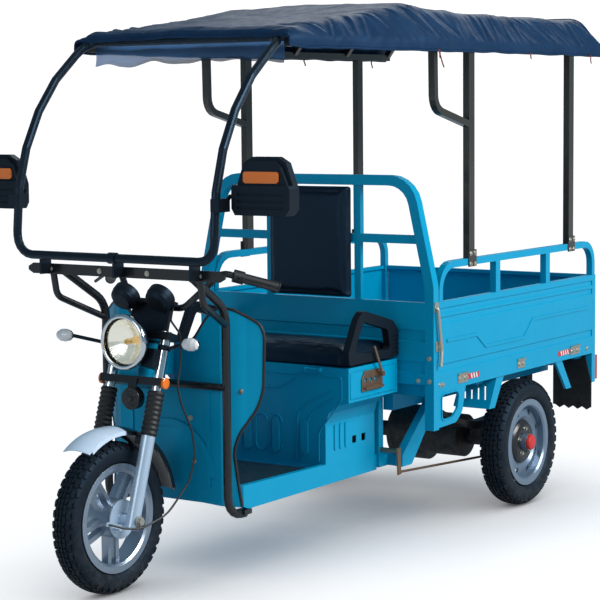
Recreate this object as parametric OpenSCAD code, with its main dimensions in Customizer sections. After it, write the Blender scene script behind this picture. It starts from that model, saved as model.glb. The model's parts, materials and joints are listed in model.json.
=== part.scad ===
// Covered electric cargo tricycle with a load bed behind the driver's bench.
// x runs forward and is counted from the rear axle, y to the vehicle's left, z up from the ground.

/* [Overall] */
// rear axle to front axle
wheelbase = 1885; // [1700:5:2100]
// rear axle back to the canopy's rear edge
rear_overhang = 620; // [610:1:680]

/* [Wheels] */
// outer radius of every tyre
tyre_r = 240; // [225:1:250]
// width of the front tyre
front_tyre_w = 84; // [70:1:92]
// width of a rear tyre
rear_tyre_w = 98; // [84:1:104]
// middle plane of a rear tyre from the centre
rear_wheel_y = 458; // [450:1:466]
// radius of the front rim's flange
front_rim_r = 173; // [166:1:180]
// radius of a rear rim's flange
rear_rim_r = 164; // [156:1:172]

/* [Load bed] */
// length of the load bed
bed_l = 1300; // [1200:5:1400]
// width over the side panels
bed_w = 1000; // [990:2:1060]
// underside of the side panels
bed_z = 567; // [555:1:590]
// height of the side panels
panel_h = 268; // [220:2:320]
// height of the load rail over the panels
rail_h = 138; // [100:1:170]
// thickness of a side panel
panel_t = 22; // [16:1:26]

/* [Canopy] */
// underside of the canopy's long rails
canopy_z = 1706; // [1650:2:1760]
// rise of the canopy from its edge to its shoulder
canopy_rise = 140; // [100:2:170]
// thickness of the canopy cloth
cloth_t = 4; // [3:0.5:6]

/* [Cab] */
// half width of the floor pan
floor_hw = 265; // [255:1:275]
// top of the floor plate
floor_z = 283; // [275:1:290]
// half width of the seat box at the top
seat_hw = 360; // [345:1:370]
// top of the seat box
seat_z = 635; // [610:1:650]
// depth of the seat box, front to back
seat_d = 318; // [300:2:340]
// greatest half width of the front shield
shield_hw = 332; // [320:1:345]
// top of the shield's corners
shield_top = 880; // [860:1:890]
// half width of the windscreen frame
screen_hw = 394; // [380:1:410]

/* [Front fork] */
// rake of the fork
rake = 18; // [15:0.5:20]
// steering axis behind the fork legs
fork_set = 50; // [45:1:55]
// fork leg from the centre
leg_y = 95; // [88:1:102]

/* [Hidden] */
$fn = 48;

overall_l = wheelbase + tyre_r + rear_overhang;
rear_axle_x = rear_overhang - overall_l / 2;

teal = [0.05, 0.62, 0.78];
black = [0.08, 0.08, 0.09];
steel = [0.72, 0.74, 0.76];
bright = [0.86, 0.88, 0.9];
rubber = [0.05, 0.05, 0.055];

// bed stations
bed_rear = -580;
bed_front = bed_rear + bed_l;
bed_hw = bed_w / 2;
panel_top = bed_z + panel_h;
beam_h = 48;
beam_w = 40;
beam_z = bed_z - beam_h;
floor_sheet = 6;
tube_w = 30;
hoop_w = 36;
hoop_x = bed_front - 14;
hoop_y = bed_hw - hoop_w / 2 + 3;
hoop_back = hoop_x - hoop_w / 2;
hoop_face = hoop_x + hoop_w / 2;
rail_w = 25;
rail_z = panel_top + rail_h - rail_w / 2;
rail_y = bed_hw - 15;
rear_post_w = 30;
post_front = bed_front - 280;
post_rear = bed_rear + 220;
post_l = 40;
post_w = 25;

// chassis stations
beam_y = 290;
spar_w = 40;
spar_h = 60;
spar_z = beam_z - 80;
cross_h = 20;
cross_w = 50;
low_y = 225;
shield_t = 5;
fit_gap = 0.3;
low_z = 236;
low_h = 42;
strut_y = beam_y + spar_w / 2;
strut_t = 30;
sill_w = 30;
pan_rear = bed_front;
seat_rear = hoop_face + 8;
seat_front = seat_rear + seat_d;
seat_low_hw = floor_hw;
seat_low_z = 437;
seat_wide_z = 517;
sheet_t = 4;

// front stations
shield_x = wheelbase - 315;
guard_x = wheelbase - 295;
guard_y = 245;
guard_r = 14;
pan_front = shield_x - 5;
neck_x = shield_x - 65;
screen_low_x = wheelbase - 40;
screen_low_z = 1053;
screen_top_x = wheelbase - 410;
screen_top_z = canopy_z + 29;
screen_r = 14;
bar_x = wheelbase - 92;
bar_z = 1005;

function unit(v) = v / norm(v);
function bend_angle(p, i) = acos(max(-1, min(1, unit(p[i] - p[i - 1]) * unit(p[i + 1] - p[i]))));
// points along a bend of radius r at corner i, in n steps
function bend_points(p, i, r, n) =
    let (
        d = unit(p[i] - p[i - 1]),
        e = unit(p[i + 1] - p[i]),
        a = bend_angle(p, i),
        t = r * tan(a / 2),
        w = unit(e - d * (d * e)),
        c = p[i] - d * t + w * r)
    [for (k = [0 : n]) c - w * r * cos(a * k / n) + d * r * sin(a * k / n)];
// a path with its corners rounded
function rounded(p, r, n) =
    [for (i = [0 : len(p) - 1])
        each (i == 0 || i == len(p) - 1 || r[i] == 0) ? [p[i]] : bend_points(p, i, r[i], n)];
function flip(v) = [for (i = [len(v) - 1 : -1 : 0]) v[i]];
function side_of(p, i) =
    let (
        d = i == 0 ? unit(p[1] - p[0]) : unit(p[i] - p[i - 1]),
        e = i == len(p) - 1 ? d : unit(p[i + 1] - p[i]),
        b = unit(d + e))
    [-b[1], b[0]] / (b * d);
// outline of a band of width w along a flat path
function band(p, w) =
    concat([for (i = [0 : len(p) - 1]) p[i] + side_of(p, i) * w / 2],
        flip([for (i = [0 : len(p) - 1]) p[i] - side_of(p, i) * w / 2]));
function mirrored(p) = concat(p, [for (q = flip(p)) [-q[0], q[1]]]);

module place() {
    translate([rear_axle_x, 0, 0])
        children();
}

module box(x0, x1, y0, y1, z0, z1) {
    translate([x0, y0, z0])
        cube([x1 - x0, y1 - y0, z1 - z0]);
}

// flat outline in the side view, thick from y0 to y1
module side_plate(p, y0, y1) {
    translate([0, y1, 0])
        rotate([90, 0, 0])
            linear_extrude(height = y1 - y0)
                polygon(p);
}

// flat outline in the front view (y, z), thick from x0 to x1
module front_plate(p, x0, x1) {
    translate([x0, 0, 0])
        rotate([90, 0, 90])
            linear_extrude(height = x1 - x0)
                polygon(p);
}

// children stand on point a with their +Z towards point b
module along(a, b) {
    d = unit(b - a);
    n = abs(d[0]) < 0.9 ? [1, 0, 0] : [0, 1, 0];
    s = unit(cross(n, d));
    m = cross(d, s);
    multmatrix([[s[0], m[0], d[0], a[0]], [s[1], m[1], d[1], a[1]], [s[2], m[2], d[2], a[2]], [0, 0, 0, 1]])
        children();
}

module rod(a, b, r) {
    along(a, b)
        cylinder(r = r, h = norm(b - a));
}

function tangents(p) = [for (i = [0 : len(p) - 1])
    i == 0 ? unit(p[1] - p[0]) :
    i == len(p) - 1 ? unit(p[i] - p[i - 1]) :
    unit(unit(p[i] - p[i - 1]) + unit(p[i + 1] - p[i]))];
// a direction square to the path, carried along it without twist
function carried(t, u, i) = let (v = i == 0 ? u : carried(t, u, i - 1)) unit(v - t[i] * (v * t[i]));

// round tube along a path
module tube(p, r, n = 16) {
    t = tangents(p);
    u = abs(t[0][1]) < 0.9 ? [0, 1, 0] : [1, 0, 0];
    m = len(p);
    rings = [for (i = [0 : m - 1])
        let (a = carried(t, u, i), b = cross(t[i], a))
        for (k = [0 : n - 1]) p[i] + r * (cos(360 * k / n) * a + sin(360 * k / n) * b)];
    sides = [for (i = [0 : m - 2])
        for (k = [0 : n - 1])
            let (q = (k + 1) % n)
            each [[i * n + k, (i + 1) * n + k, i * n + q], [i * n + q, (i + 1) * n + k, (i + 1) * n + q]]];
    polyhedron(points = rings, faces = concat(sides, [[for (k = [0 : n - 1]) k]],
        [[for (k = [n - 1 : -1 : 0]) (m - 1) * n + k]]));
}

module both_sides() {
    children();
    mirror([0, 1, 0])
        children();
}

// frame tilted with the fork: origin at the front axle, z up along the legs
module fork_frame() {
    translate([wheelbase, 0, tyre_r])
        rotate([0, -rake, 0])
            children();
}

module y_turn() {
    rotate([-90, 0, 0])
        children();
}

// flat-ended oval pad
module oval_pad(l, w, t) {
    linear_extrude(height = t)
        polygon([for (a = [0 : 15 : 345]) [w / 2 * cos(a),
            w / 2 * sin(a) + (sin(a) > 0.01 ? 1 : (sin(a) < -0.01 ? -1 : 0)) * (l - w) / 2]]);
}

head_low = 455;
head_high = 568;
head_r = 27;
stem_r = 13;
stem_gap = 0.05;

module main_frame() {
    color(teal)
    difference() {
        union() {
            both_sides() {
                box(bed_rear + 40, bed_front - 40, beam_y - spar_w / 2, beam_y + spar_w / 2, spar_z,
                    spar_z + spar_h);
                box(bed_front - 150, pan_front - 30, low_y - 20, low_y + 20, low_z, low_z + low_h);
                // outrigger and sloping strut up to the bed spar
                box(bed_front - 120, bed_front - 60, low_y + 20, strut_y + strut_t, low_z, low_z + low_h);
                side_plate([[bed_front - 120, low_z], [bed_front - 54, low_z], [bed_front - 54,
                    low_z + low_h],
                    [bed_front - 290, spar_z + 40], [bed_front - 345, spar_z + 40]], strut_y,
                        strut_y + strut_t);
                box(bed_front - 30, bed_front, low_y + 20, low_y + 50, low_z, beam_z);
                box(bed_front - 60, bed_front - 30, low_y + 20, low_y + 50, low_z, low_z + low_h);
            }
            for (x = [bed_rear + 45, bed_rear + 260, bed_front - 430, bed_front - 90])
                box(x, x + cross_w, -bed_hw + 40, bed_hw - 40, spar_z + spar_h, beam_z);
            for (x = [bed_front - 150, seat_front - 40, pan_front - 70])
                box(x, x + 40, -low_y, low_y, low_z, low_z + low_h);
            // neck post and head gusset
            box(neck_x - 45, neck_x + 10, -30, 30, low_z, 720);
            side_plate([[neck_x, 600], [neck_x + 60, 660], [wheelbase - 190, 660], [wheelbase - 228,
                768], [neck_x, 720]], -20, 20);
            fork_frame()
                translate([-fork_set, 0, head_low])
                    cylinder(r = head_r, h = head_high - head_low);
        }
        fork_frame()
            translate([-fork_set, 0, head_low - 30])
                cylinder(r = stem_r + stem_gap, h = head_high - head_low + 90);
        fork_frame()
            translate([-fork_set - 60, -60, head_high])
                cube([120, 120, 60]);
        fork_frame()
            translate([-fork_set - 60, -60, head_low - 60])
                cube([120, 120, 60]);
    }
}

module floor_pan() {
    color(teal)
    difference() {
        union() {
            difference() {
                box(pan_rear, pan_front, -floor_hw + sill_w, floor_hw - sill_w, low_z + low_h, floor_z);
                box(neck_x - 45, neck_x + 10, -30, 30, low_z, 720);
            }
            both_sides()
                side_plate([[pan_rear, low_z - 8], [pan_front - 60, low_z - 8], [pan_front, low_z + 14],
                    [pan_front, floor_z + 25],
                    [seat_front, floor_z + 15], [seat_front, floor_z], [pan_rear, floor_z]],
                        floor_hw - sill_w + 10, floor_hw);
            both_sides()
                box(pan_rear, pan_front, floor_hw - sill_w, floor_hw - sill_w + 10, low_z + low_h, floor_z);
        }
        shield_plan(-200, shield_t + fit_gap);
    }
}

module shield_outline(x0, x1, grow) {
    front_plate(mirrored([[0, 252 - grow], [floor_hw - 2 + grow, low_z + 2 - grow],
        [floor_hw - 10 + grow, 300], [242 + grow, 420],
        [258 + grow, 480], [shield_hw - 22 + grow, 560], [shield_hw - 4 + grow, 620], [shield_hw + grow,
            795],
        [shield_hw - 12 + grow, 830], [250 + grow, shield_top - 6 + grow], [232, shield_top + grow],
            [190, shield_top + grow],
        [150, 845 + grow], [100, 775 + grow], [60, 760 + grow], [0, 760 + grow]]), x0, x1);
}

module shield_plan(t0, t1) {
    x = shield_x;
    translate([0, 0, 200])
        linear_extrude(height = 720)
            polygon(concat([[x - t0, 0], [x - t0, 205], [x - 12 - t0, 235], [x - 42 - t0, 280],
                [x - 72 - t0, shield_hw + 12]],
                [[x - 72 - t1, shield_hw + 12], [x - 42 - t1, 280], [x - 12 - t1, 235], [x - t1, 205],
                    [x - t1, -205],
                    [x - 12 - t1, -235], [x - 42 - t1, -280], [x - 72 - t1, -shield_hw - 12]],
                [[x - 72 - t0, -shield_hw - 12], [x - 42 - t0, -280], [x - 12 - t0, -235], [x - t0,
                    -205]]));
}

module front_shield() {
    color(teal)
    difference() {
        union() {
            intersection() {
                shield_plan(0, shield_t);
                shield_outline(shield_x - 120, shield_x + 5, 0);
            }
            // pressed arch over the wheel
            front_plate(band([for (a = [0 : 12 : 180]) [170 * cos(a), 330 + 170 * sin(a)]], 22),
                shield_x, shield_x + 6);
            front_plate([[-165, 300], [-150, 300], [-150, 620], [-165, 620]], shield_x, shield_x + 5);
            front_plate([[150, 300], [165, 300], [165, 620], [150, 620]], shield_x, shield_x + 5);
        }
        box(shield_x - 40, shield_x + 60, -20.3, 20.3, 640, 800);
    }
}

module seat_profile(t) {
    polygon(mirrored([[0, floor_z + t], [seat_low_hw - t, floor_z + t], [seat_low_hw - t, seat_low_z],
        [seat_low_hw + 12 - t, seat_low_z + 38],
        [seat_low_hw + 45 - t, seat_wide_z - 14], [seat_hw - t, seat_wide_z], [seat_hw - t, seat_z - t],
            [0, seat_z - t]]));
}

module seat_box() {
    color(teal)
    difference() {
        union() {
            difference() {
                translate([seat_rear, 0, 0])
                    rotate([90, 0, 90])
                        linear_extrude(height = seat_d)
                            seat_profile(0);
                translate([seat_rear + sheet_t, 0, 0])
                    rotate([90, 0, 90])
                        linear_extrude(height = seat_d - 2 * sheet_t)
                            seat_profile(sheet_t);
                // opening under the cushion
                box(seat_rear + 30, seat_front - 30, -seat_hw + 40, seat_hw - 40, seat_z - 20, seat_z + 1);
            }
            for (y = [-220, 220]) {
                for (e = [-34, 26])
                    box(seat_front - 2, seat_pin_x + 7, y + e, y + e + 8, seat_pin_z - 7, seat_pin_z + 5);
                translate([seat_pin_x, y - 34, seat_pin_z])
                    y_turn()
                        cylinder(r = seat_pin_r, h = 68);
            }
            for (y = [-180, -60, 60, 180])
                translate([seat_front, y, 385])
                    rotate([90, 0, 90])
                        oval_pad(120, 30, 5);
            for (s = [-1, 1])
                for (k = [0 : 2])
                    translate([seat_front - 60 - 34 * k, s * seat_low_hw, 385])
                        rotate([90, 0, s > 0 ? 180 : 0])
                            oval_pad(90, 16, 4);
        }
        for (s = [-1, 1])
            for (x = [seat_rear + 75, seat_rear + 135])
                translate([x, s * seat_low_hw, 360])
                    cube([26, 30, 26], center = true);
    }
}

module battery_pack() {
    color(black)
    box(seat_rear + 24, seat_front - 24, -240, 240, floor_z + sheet_t, floor_z + 210);
}

brake_shaft = [bed_front - 15, 300];
brake_rod_r = 4.5;
brake_lever_y = strut_y + strut_t + 7;
drum_face = 345;

module brake_controls() {
    lever_x = seat_front - 190;
    lever_y = seat_hw + 18;
    lever_z = seat_z - 36;
    color(steel) {
        // parking brake bracket and lever on the seat box
        difference() {
            union() {
                side_plate([[seat_front - 212, 547], [seat_front - 78, 547], [seat_front - 78, 590],
                    [seat_front - 96, 616],
                    [seat_front - 212, 616]], seat_hw, seat_hw + 5);
                side_plate([[seat_front - 205, 553], [seat_front - 90, 553], [seat_front - 90, 561],
                    [seat_front - 205, 561]],
                    seat_hw, seat_hw + 16);
            }
            for (k = [0 : 2])
                translate([seat_front - 102 - 32 * k, seat_hw - 1, 584])
                    y_turn()
                        cylinder(r = 8, h = 12);
        }
        rod([lever_x, seat_hw + 4, lever_z], [lever_x, lever_y + 6, lever_z], 9);
        rod([lever_x, lever_y, lever_z], [lever_x + 52, lever_y, lever_z + 100], 4.5);
        // cross shaft behind the seat box with a lever and a rod to each rear drum
        both_sides() {
            rod([brake_shaft[0], low_y + 50 + fit_gap, brake_shaft[1]], [brake_shaft[0],
                brake_lever_y + 4, brake_shaft[1]], 8);
            side_plate([[brake_shaft[0] - 12, brake_shaft[1] + 12], [brake_shaft[0] - 14, 216],
                [brake_shaft[0] + 4, 214],
                [brake_shaft[0] + 12, brake_shaft[1] + 12]], brake_lever_y - 3, brake_lever_y + 3);
            rod([brake_shaft[0] - 4, brake_lever_y, 224], [16, drum_face - 10, tyre_r - 64], brake_rod_r);
            side_plate([[4, tyre_r - 76], [28, tyre_r - 76], [24, tyre_r - 36], [8, tyre_r - 36]],
                drum_face - 11, drum_face - fit_gap);
        }
        // foot brake
        box(pan_front - 120, pan_front - 80, -150, -90, floor_z, floor_z + 8);
        rod([pan_front - 100, -120, floor_z + 6], [pan_front - 60, -120, floor_z + 110], 7);
        translate([pan_front - 66, -120, floor_z + 112])
            rotate([0, -35, 0])
                cube([12, 80, 60], center = true);
    }
}

module front_guard() {
    color(black) {
        difference() {
            both_sides() {
                tube(rounded([[shield_x - 60, floor_hw - 12, low_z - 22], [guard_x, guard_y, low_z - 22],
                    [guard_x, guard_y, 880],
                    [bar_x - 3, guard_y + 12, bar_z]], [0, 60, 90, 0], 5), guard_r);
                tube(rounded([[bar_x - 3, guard_y + 50, bar_z - 5], [bar_x - 20, guard_y + 50, 915],
                    [guard_x, guard_y, 830]], [0, 40, 0], 4), 11);
            }
            box(bar_x + 4, bar_x + 60, -400, 400, bar_z - 40, bar_z + 40);
        }
        rod([guard_x + 8, -guard_y, 632], [guard_x + 8, guard_y, 632], 12);
        both_sides()
            box(shield_x - 75, shield_x - 35, floor_hw - 30, floor_hw + 6, low_z - 24, low_z - 8);
        // flat bar under the windscreen
        front_plate(mirrored([[0, bar_z - 17], [screen_hw - 20, bar_z - 17], [screen_hw, bar_z - 6],
            [screen_hw, bar_z + 6],
            [screen_hw - 20, bar_z + 17], [0, bar_z + 17]]), bar_x - 4, bar_x + 4);
    }
}

// corners of the windscreen loop in the side view (x, z): foot, knee and top
screen_knee = screen_low_z + 445;
screen_side = [[screen_low_x, screen_low_z], [screen_low_x + 5, screen_knee], [screen_top_x, screen_top_z]];

module screen_loop(r) {
    w = screen_hw;
    q = screen_side;
    up = [for (c = q) [c[0], w, c[1]]];
    down = [for (c = flip(q)) [c[0], -w, c[1]]];
    tube(rounded(concat([[q[0][0], 3, q[0][1]]], up, down, [[q[0][0], -3, q[0][1]]]), [0, 60, 660, 45,
        45, 660, 60, 0], 5), r);
}

module windscreen_frame() {
    color(black) {
        screen_loop(screen_r);
        // clamp round the seam
        rod([screen_low_x, -14, screen_low_z], [screen_low_x, 14, screen_low_z], screen_r + 4);
        both_sides() {
            // clamp plates down to the flat bar
            box(bar_x + 4, screen_low_x, 296, 304, bar_z - 14, screen_low_z + 6);
            // mirror arm and its bracket
            box(screen_low_x - 46, screen_low_x + 12, screen_hw - 5, screen_hw + 26, 1205, 1245);
            tube([[screen_low_x - 36, screen_hw + 10, 1225], [screen_low_x - 64, screen_hw + 14, 1250],
                [screen_low_x - 64, mirror_y - fit_gap, 1250]], 7);
        }
        box(bar_x + 4, screen_low_x, -4, 4, bar_z - 14, screen_low_z + 6);
    }
}

module windscreen_glass() {
    w = screen_hw;
    cut = 35;
    color([0.8, 0.9, 0.95, 0.4])
    difference() {
        intersection() {
            side_plate(band(rounded(screen_side, [0, 660, 0], 12), 4), -w, w);
            front_plate(mirrored([[0, screen_low_z], [w - cut, screen_low_z], [w, screen_low_z + cut],
                [w, screen_top_z - cut * 0.6],
                [w - cut * 0.8, screen_top_z], [0, screen_top_z]]), screen_top_x - 20, screen_low_x + 20);
        }
        screen_loop(screen_r + fit_gap);
        rod([screen_low_x, -14 - fit_gap, screen_low_z], [screen_low_x, 14 + fit_gap, screen_low_z],
            screen_r + 4 + fit_gap);
    }
}

mirror_x = wheelbase - 113;
mirror_y = 427;
mirror_w = 211;

module mirror_outline(x0, x1, g) {
    for (s = [-1, 1])
        front_plate([for (q = [[12 - g, 1195 + g], [mirror_w - 16 - g, 1195 + g], [mirror_w - g, 1215],
            [mirror_w - g, 1275], [mirror_w - 28 - g, 1352 - g],
            [mirror_w - 60, 1370 - g], [60, 1370 - g], [28 + g, 1352 - g], [g, 1275], [g,
                1215]]) [s * (mirror_y + q[0]), q[1]]], x0, x1);
}

mirror_step = 1285;

module mirror_shells() {
    color(black)
    difference() {
        union() {
            mirror_outline(mirror_x - 22, mirror_x + 4, 0);
            // wide lower block and the narrower lamp block over it
            intersection() {
                mirror_outline(mirror_x, mirror_x + 30, 0);
                box(mirror_x - 1, mirror_x + 40, -700, 700, 1180, mirror_step);
            }
            mirror_outline(mirror_x, mirror_x + 17, 12);
        }
        mirror_outline(mirror_x - 30, mirror_x - 14, 9);
        // grip grooves across the lower block
        both_sides()
            for (k = [0 : 2])
                box(mirror_x + 26, mirror_x + 31, mirror_y + 22, mirror_y + mirror_w - 22, 1214 + 20 * k,
                    1222 + 20 * k);
    }
}

module mirror_glasses() {
    color(bright)
    mirror_outline(mirror_x - 18, mirror_x - 14, 10);
}

module bed_frame() {
    color(teal) {
        difference() {
            union() {
                both_sides()
                    box(bed_rear, hoop_back, bed_hw - beam_w, bed_hw, beam_z, bed_z);
                box(bed_rear + 30, bed_rear + 70, -bed_hw + beam_w, bed_hw - beam_w, beam_z, bed_z - 10);
                box(hoop_back - 40, hoop_back, -bed_hw + beam_w, bed_hw - beam_w, beam_z, bed_z);
                box(bed_rear + 70, hoop_back - 40, -bed_hw + beam_w, bed_hw - beam_w, bed_z - 16,
                    bed_z - 10);
            }
            both_sides()
                box(bed_rear - 1, bed_rear + rear_post_w, bed_hw - beam_w - 1, bed_hw + 1, beam_z - 1,
                    bed_z + 1);
        }
        // rear corner posts
        both_sides()
            box(bed_rear, bed_rear + rear_post_w, bed_hw - rear_post_w, bed_hw, 400, panel_top);
        // tailgate hinge lugs and pins
        for (y = [-300, 300]) {
            box(hinge_x - 9, bed_rear + 30, y - 40, y - 32, hinge_z - 9, hinge_z + 9);
            box(hinge_x - 9, bed_rear + 30, y + 32, y + 40, hinge_z - 9, hinge_z + 9);
            translate([hinge_x, y - 40, hinge_z])
                y_turn()
                    cylinder(r = hinge_r, h = 80);
        }
    }
}

hinge_x = bed_rear + 4;
hinge_z = bed_z - 18;
hinge_r = 5;

module panel_section(h, t) {
    polygon([[0, 0], [t, 0], [t, 20], [t - 4, 24], [t - 4, 44], [t, 48], [t, h - 78], [t - 4, h - 74],
        [t - 4, h - 58],
        [t, h - 54], [t, h - 44], [t - 4, h - 40], [t - 4, h - 26], [t, h - 22], [t, h], [0, h], [0,
            h - 14], [t - 10, h - 18], [t - 10, 20], [0, 16]]);
}

module bed_panels() {
    color(teal) {
        both_sides() {
            translate([bed_rear + rear_post_w, bed_hw - panel_t, bed_z])
                rotate([90, 0, 90])
                    linear_extrude(height = hoop_back - bed_rear - rear_post_w)
                        panel_section(panel_h, panel_t);
            // pressed line along the panel
            translate([0, bed_hw - 1, 0])
                side_plate(band([[hoop_back - 60, bed_z + 128], [410, bed_z + 128], [340, bed_z + 78],
                    [40, bed_z + 78], [-30, bed_z + 140],
                    [bed_rear + 70, bed_z + 140]], 12), 0, 4);
        }
        // front wall between the hoop's posts
        translate([hoop_x + 10, 0, bed_z - 21])
            rotate([90, 0, 0])
                translate([0, 0, -hoop_y + hoop_w / 2])
                    linear_extrude(height = 2 * hoop_y - hoop_w)
                        polygon([[-12, 0], [8, 0], [8, 40], [4, 44], [4, 80], [8, 84], [8, 150], [4,
                            154], [4, 190], [8, 194],
                            [8, panel_h + 21], [-12, panel_h + 21], [-12, panel_h], [-2, panel_h - 6],
                                [-2, 20], [-12, 16]]);
    }
}

hoop_top = 1258;
hoop_bar_z = 1053;

module headboard_hoop() {
    color(teal)
    difference() {
        union() {
            front_plate(band(rounded([[-hoop_y, 387], [-hoop_y, 890], [-402, hoop_top], [402, hoop_top],
                [hoop_y, 890], [hoop_y, 387]],
                [0, 200, 100, 100, 200, 0], 5), hoop_w), hoop_back, hoop_face);
            front_plate([[-435, hoop_bar_z - 15], [435, hoop_bar_z - 15], [435, hoop_bar_z + 15], [-435,
                hoop_bar_z + 15]], hoop_x - 10, hoop_x + 12);
            both_sides()
                box(hoop_x - 6, hoop_x + 12, 176, 202, panel_top, hoop_top - 10);
        }
    }
}

module backrest() {
    color(black)
    front_plate(mirrored([[0, 837], [150, 837], [175, 862], [175, 1214], [150, 1239], [0, 1239]]),
        hoop_face, hoop_face + 40);
    color(black)
    both_sides()
        box(hoop_x + 12, hoop_face, 165, 173, 950, 1150);
}

module side_rails() {
    color(teal)
    both_sides() {
        side_plate(band(rounded([[hoop_back - 26, panel_top], [hoop_back - 26, rail_z], [bed_rear + 15,
            rail_z], [bed_rear + 15, panel_top]],
            [0, 90, 75, 0], 6), rail_w), rail_y - rail_w / 2, rail_y + rail_w / 2);
        for (x = [242, -162])
            box(x - 17, x + 17, rail_y - rail_w / 2, rail_y + rail_w / 2, panel_top, rail_z);
    }
}

module canopy_posts() {
    color(black)
    both_sides()
        for (x = [post_front, post_rear]) {
            box(x - post_l / 2, x + post_l / 2, rail_y - post_w / 2, rail_y + post_w / 2,
                rail_z + rail_w / 2, canopy_z);
            box(x - 28, x + 28, rail_y + rail_w / 2, rail_y + rail_w / 2 + 4, rail_z - 18,
                rail_z + rail_w / 2 + 30);
        }
}

front_bow = bed_front - 26;
shoulder_y = 398;
shoulder_z = canopy_z + canopy_rise;

module bow(x, y, z) {
    front_plate(band([[-rail_y, canopy_z + 14], [-y, z], [y, z], [rail_y, canopy_z + 14]], 22), x - 11,
        x + 11);
}

module canopy_frame() {
    color(black) {
        both_sides() {
            box(bed_rear - 20, front_bow + 11, rail_y - post_w / 2, rail_y + post_w / 2, canopy_z,
                canopy_z + 26);
            // forward run to the windscreen's top corner
            linear_rail();
            difference() {
                side_plate(band(rounded([[post_front, canopy_z - 259], [front_bow - 4, canopy_z - 200],
                    [front_bow, canopy_z]], [0, 60, 0], 5), 24),
                    rail_y - post_w / 2, rail_y + post_w / 2);
                box(post_front - post_l, post_front + post_l / 2 + 0.05, rail_y - post_w,
                    rail_y + post_w, canopy_z - 320, canopy_z - 60);
            }
        }
        bow(front_bow, shoulder_y - 10, shoulder_z + 6);
        for (x = [post_front - 23, post_front - 323, post_rear + 98, bed_rear - 9])
            bow(x, shoulder_y, shoulder_z - 12);
    }
}

module linear_rail() {
    translate([0, 0, canopy_z])
        linear_extrude(height = 26)
            polygon([[front_bow, rail_y - 12], [front_bow, rail_y + 12], [screen_top_x - 14.3,
                screen_hw + 26], [screen_top_x - 14.3, screen_hw - 2]]);
}

module canopy_section(x, ey, ez, sy, sz) {
    front_plate(mirrored([[0, sz], [sy, sz], [ey, ez + valance_h], [ey, ez], [0, ez]]), x - 0.5, x + 0.5);
}

module canopy_hull(a, b, g, d) {
    hull() {
        canopy_section(a[0], a[1] - g, a[2] - d, a[3] - g * 0.7, a[4] - g);
        canopy_section(b[0], b[1] - g, b[2] - d, b[3] - g * 0.7, b[4] - g);
    }
}

edge_y = bed_hw + 4;
valance_h = 34;

module canopy_cover() {
    s = [[-rear_overhang + 0.5, edge_y, canopy_z, shoulder_y + 6, shoulder_z + 8],
        [417, edge_y, canopy_z, shoulder_y + 6, shoulder_z + 8],
        [front_bow, edge_y, canopy_z, shoulder_y - 4, shoulder_z + 26],
        [screen_top_x + 20, screen_hw + 42, canopy_z, screen_hw + 20, screen_top_z + 20]];
    color([0.06, 0.07, 0.12])
    difference() {
        union()
            for (i = [0 : 2])
                canopy_hull(s[i], s[i + 1], 0, 0);
        union()
            for (i = [0 : 2])
                canopy_hull([s[i][0] - (i == 0 ? 2 : 0), s[i][1], s[i][2], s[i][3], s[i][4]],
                    [s[i + 1][0] + (i == 2 ? 2 : 0), s[i + 1][1], s[i + 1][2], s[i + 1][3], s[i + 1][4]],
                        cloth_t, 10);
    }
}

spring_y = 300;
drum_r = 92;

module rear_axle() {
    color([0.2, 0.2, 0.22]) {
        translate([0, -395, tyre_r])
            y_turn()
                cylinder(r = 30, h = 790);
        translate([0, -70, tyre_r])
            y_turn()
                cylinder(r = 105, h = 140);
        // motor beside the gear case
        translate([40, 60, tyre_r + 10])
            y_turn()
                cylinder(r = 82, h = 190);
        both_sides() {
            translate([0, drum_face, tyre_r])
                y_turn()
                    cylinder(r = drum_r, h = 50);
            translate([0, 390, tyre_r])
                y_turn()
                    cylinder(r = 16, h = 105);
            box(-45, 45, spring_y - 30, spring_y + 30, tyre_r, tyre_r + 40);
        }
    }
}

module leaf_springs() {
    color(black)
    both_sides() {
        for (k = [0 : 2])
            side_plate(band([for (x = [-380 + 90 * k : 38 : 381 - 90 * k]) [x,
                tyre_r + 68 - 8 * k + 100 * x * x / 144400]], 8.4),
                spring_y - 25, spring_y + 25);
        // clamp over the axle
        box(-40, 40, spring_y - 25, spring_y + 25, tyre_r + 40, tyre_r + 60);
        // hangers under the bed spars
        for (x = [-380, 380])
            box(x - 22, x + 22, spring_y - 25, strut_y - fit_gap, tyre_r + 140, spar_z);
    }
}

guard_low = 407;
louvres = 4;

module wheel_guards() {
    slope = atan2(60, beam_z - guard_low);
    color(teal)
    both_sides() {
        // front plate with slanted louvres, and its outer flange
        difference() {
            side_plate([[242, beam_z], [247, beam_z], [307, guard_low], [302, guard_low]], 345, bed_hw - 5);
            for (k = [0 : louvres - 1])
                translate([275, 378 + 28 * k, (beam_z + guard_low) / 2])
                    rotate([0, -slope, 0])
                        rotate([14, 0, 0])
                            cube([30, 7, 62], center = true);
        }
        side_plate([[190, beam_z], [242, beam_z], [302, guard_low], [262, guard_low]], bed_hw - 10,
            bed_hw - 5);
        // rear stay
        side_plate([[-290, beam_z], [-235, beam_z], [-330, 401], [-375, 401]], bed_hw - 15, bed_hw - 5);
        // open gusset under the front corner, its opening rounded and rolled out
        difference() {
            union() {
                side_plate(rounded([[hoop_back, beam_z], [hoop_back - 198, beam_z], [hoop_back - 173,
                    430], [hoop_back - 128, 396],
                    [hoop_back, 392]], [0, 0, 30, 40, 0], 4), bed_hw - 6, bed_hw);
                gusset_opening(5, bed_hw - 6, bed_hw + 3);
            }
            gusset_opening(0, bed_hw - 7, bed_hw + 4);
        }
    }
}

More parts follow.
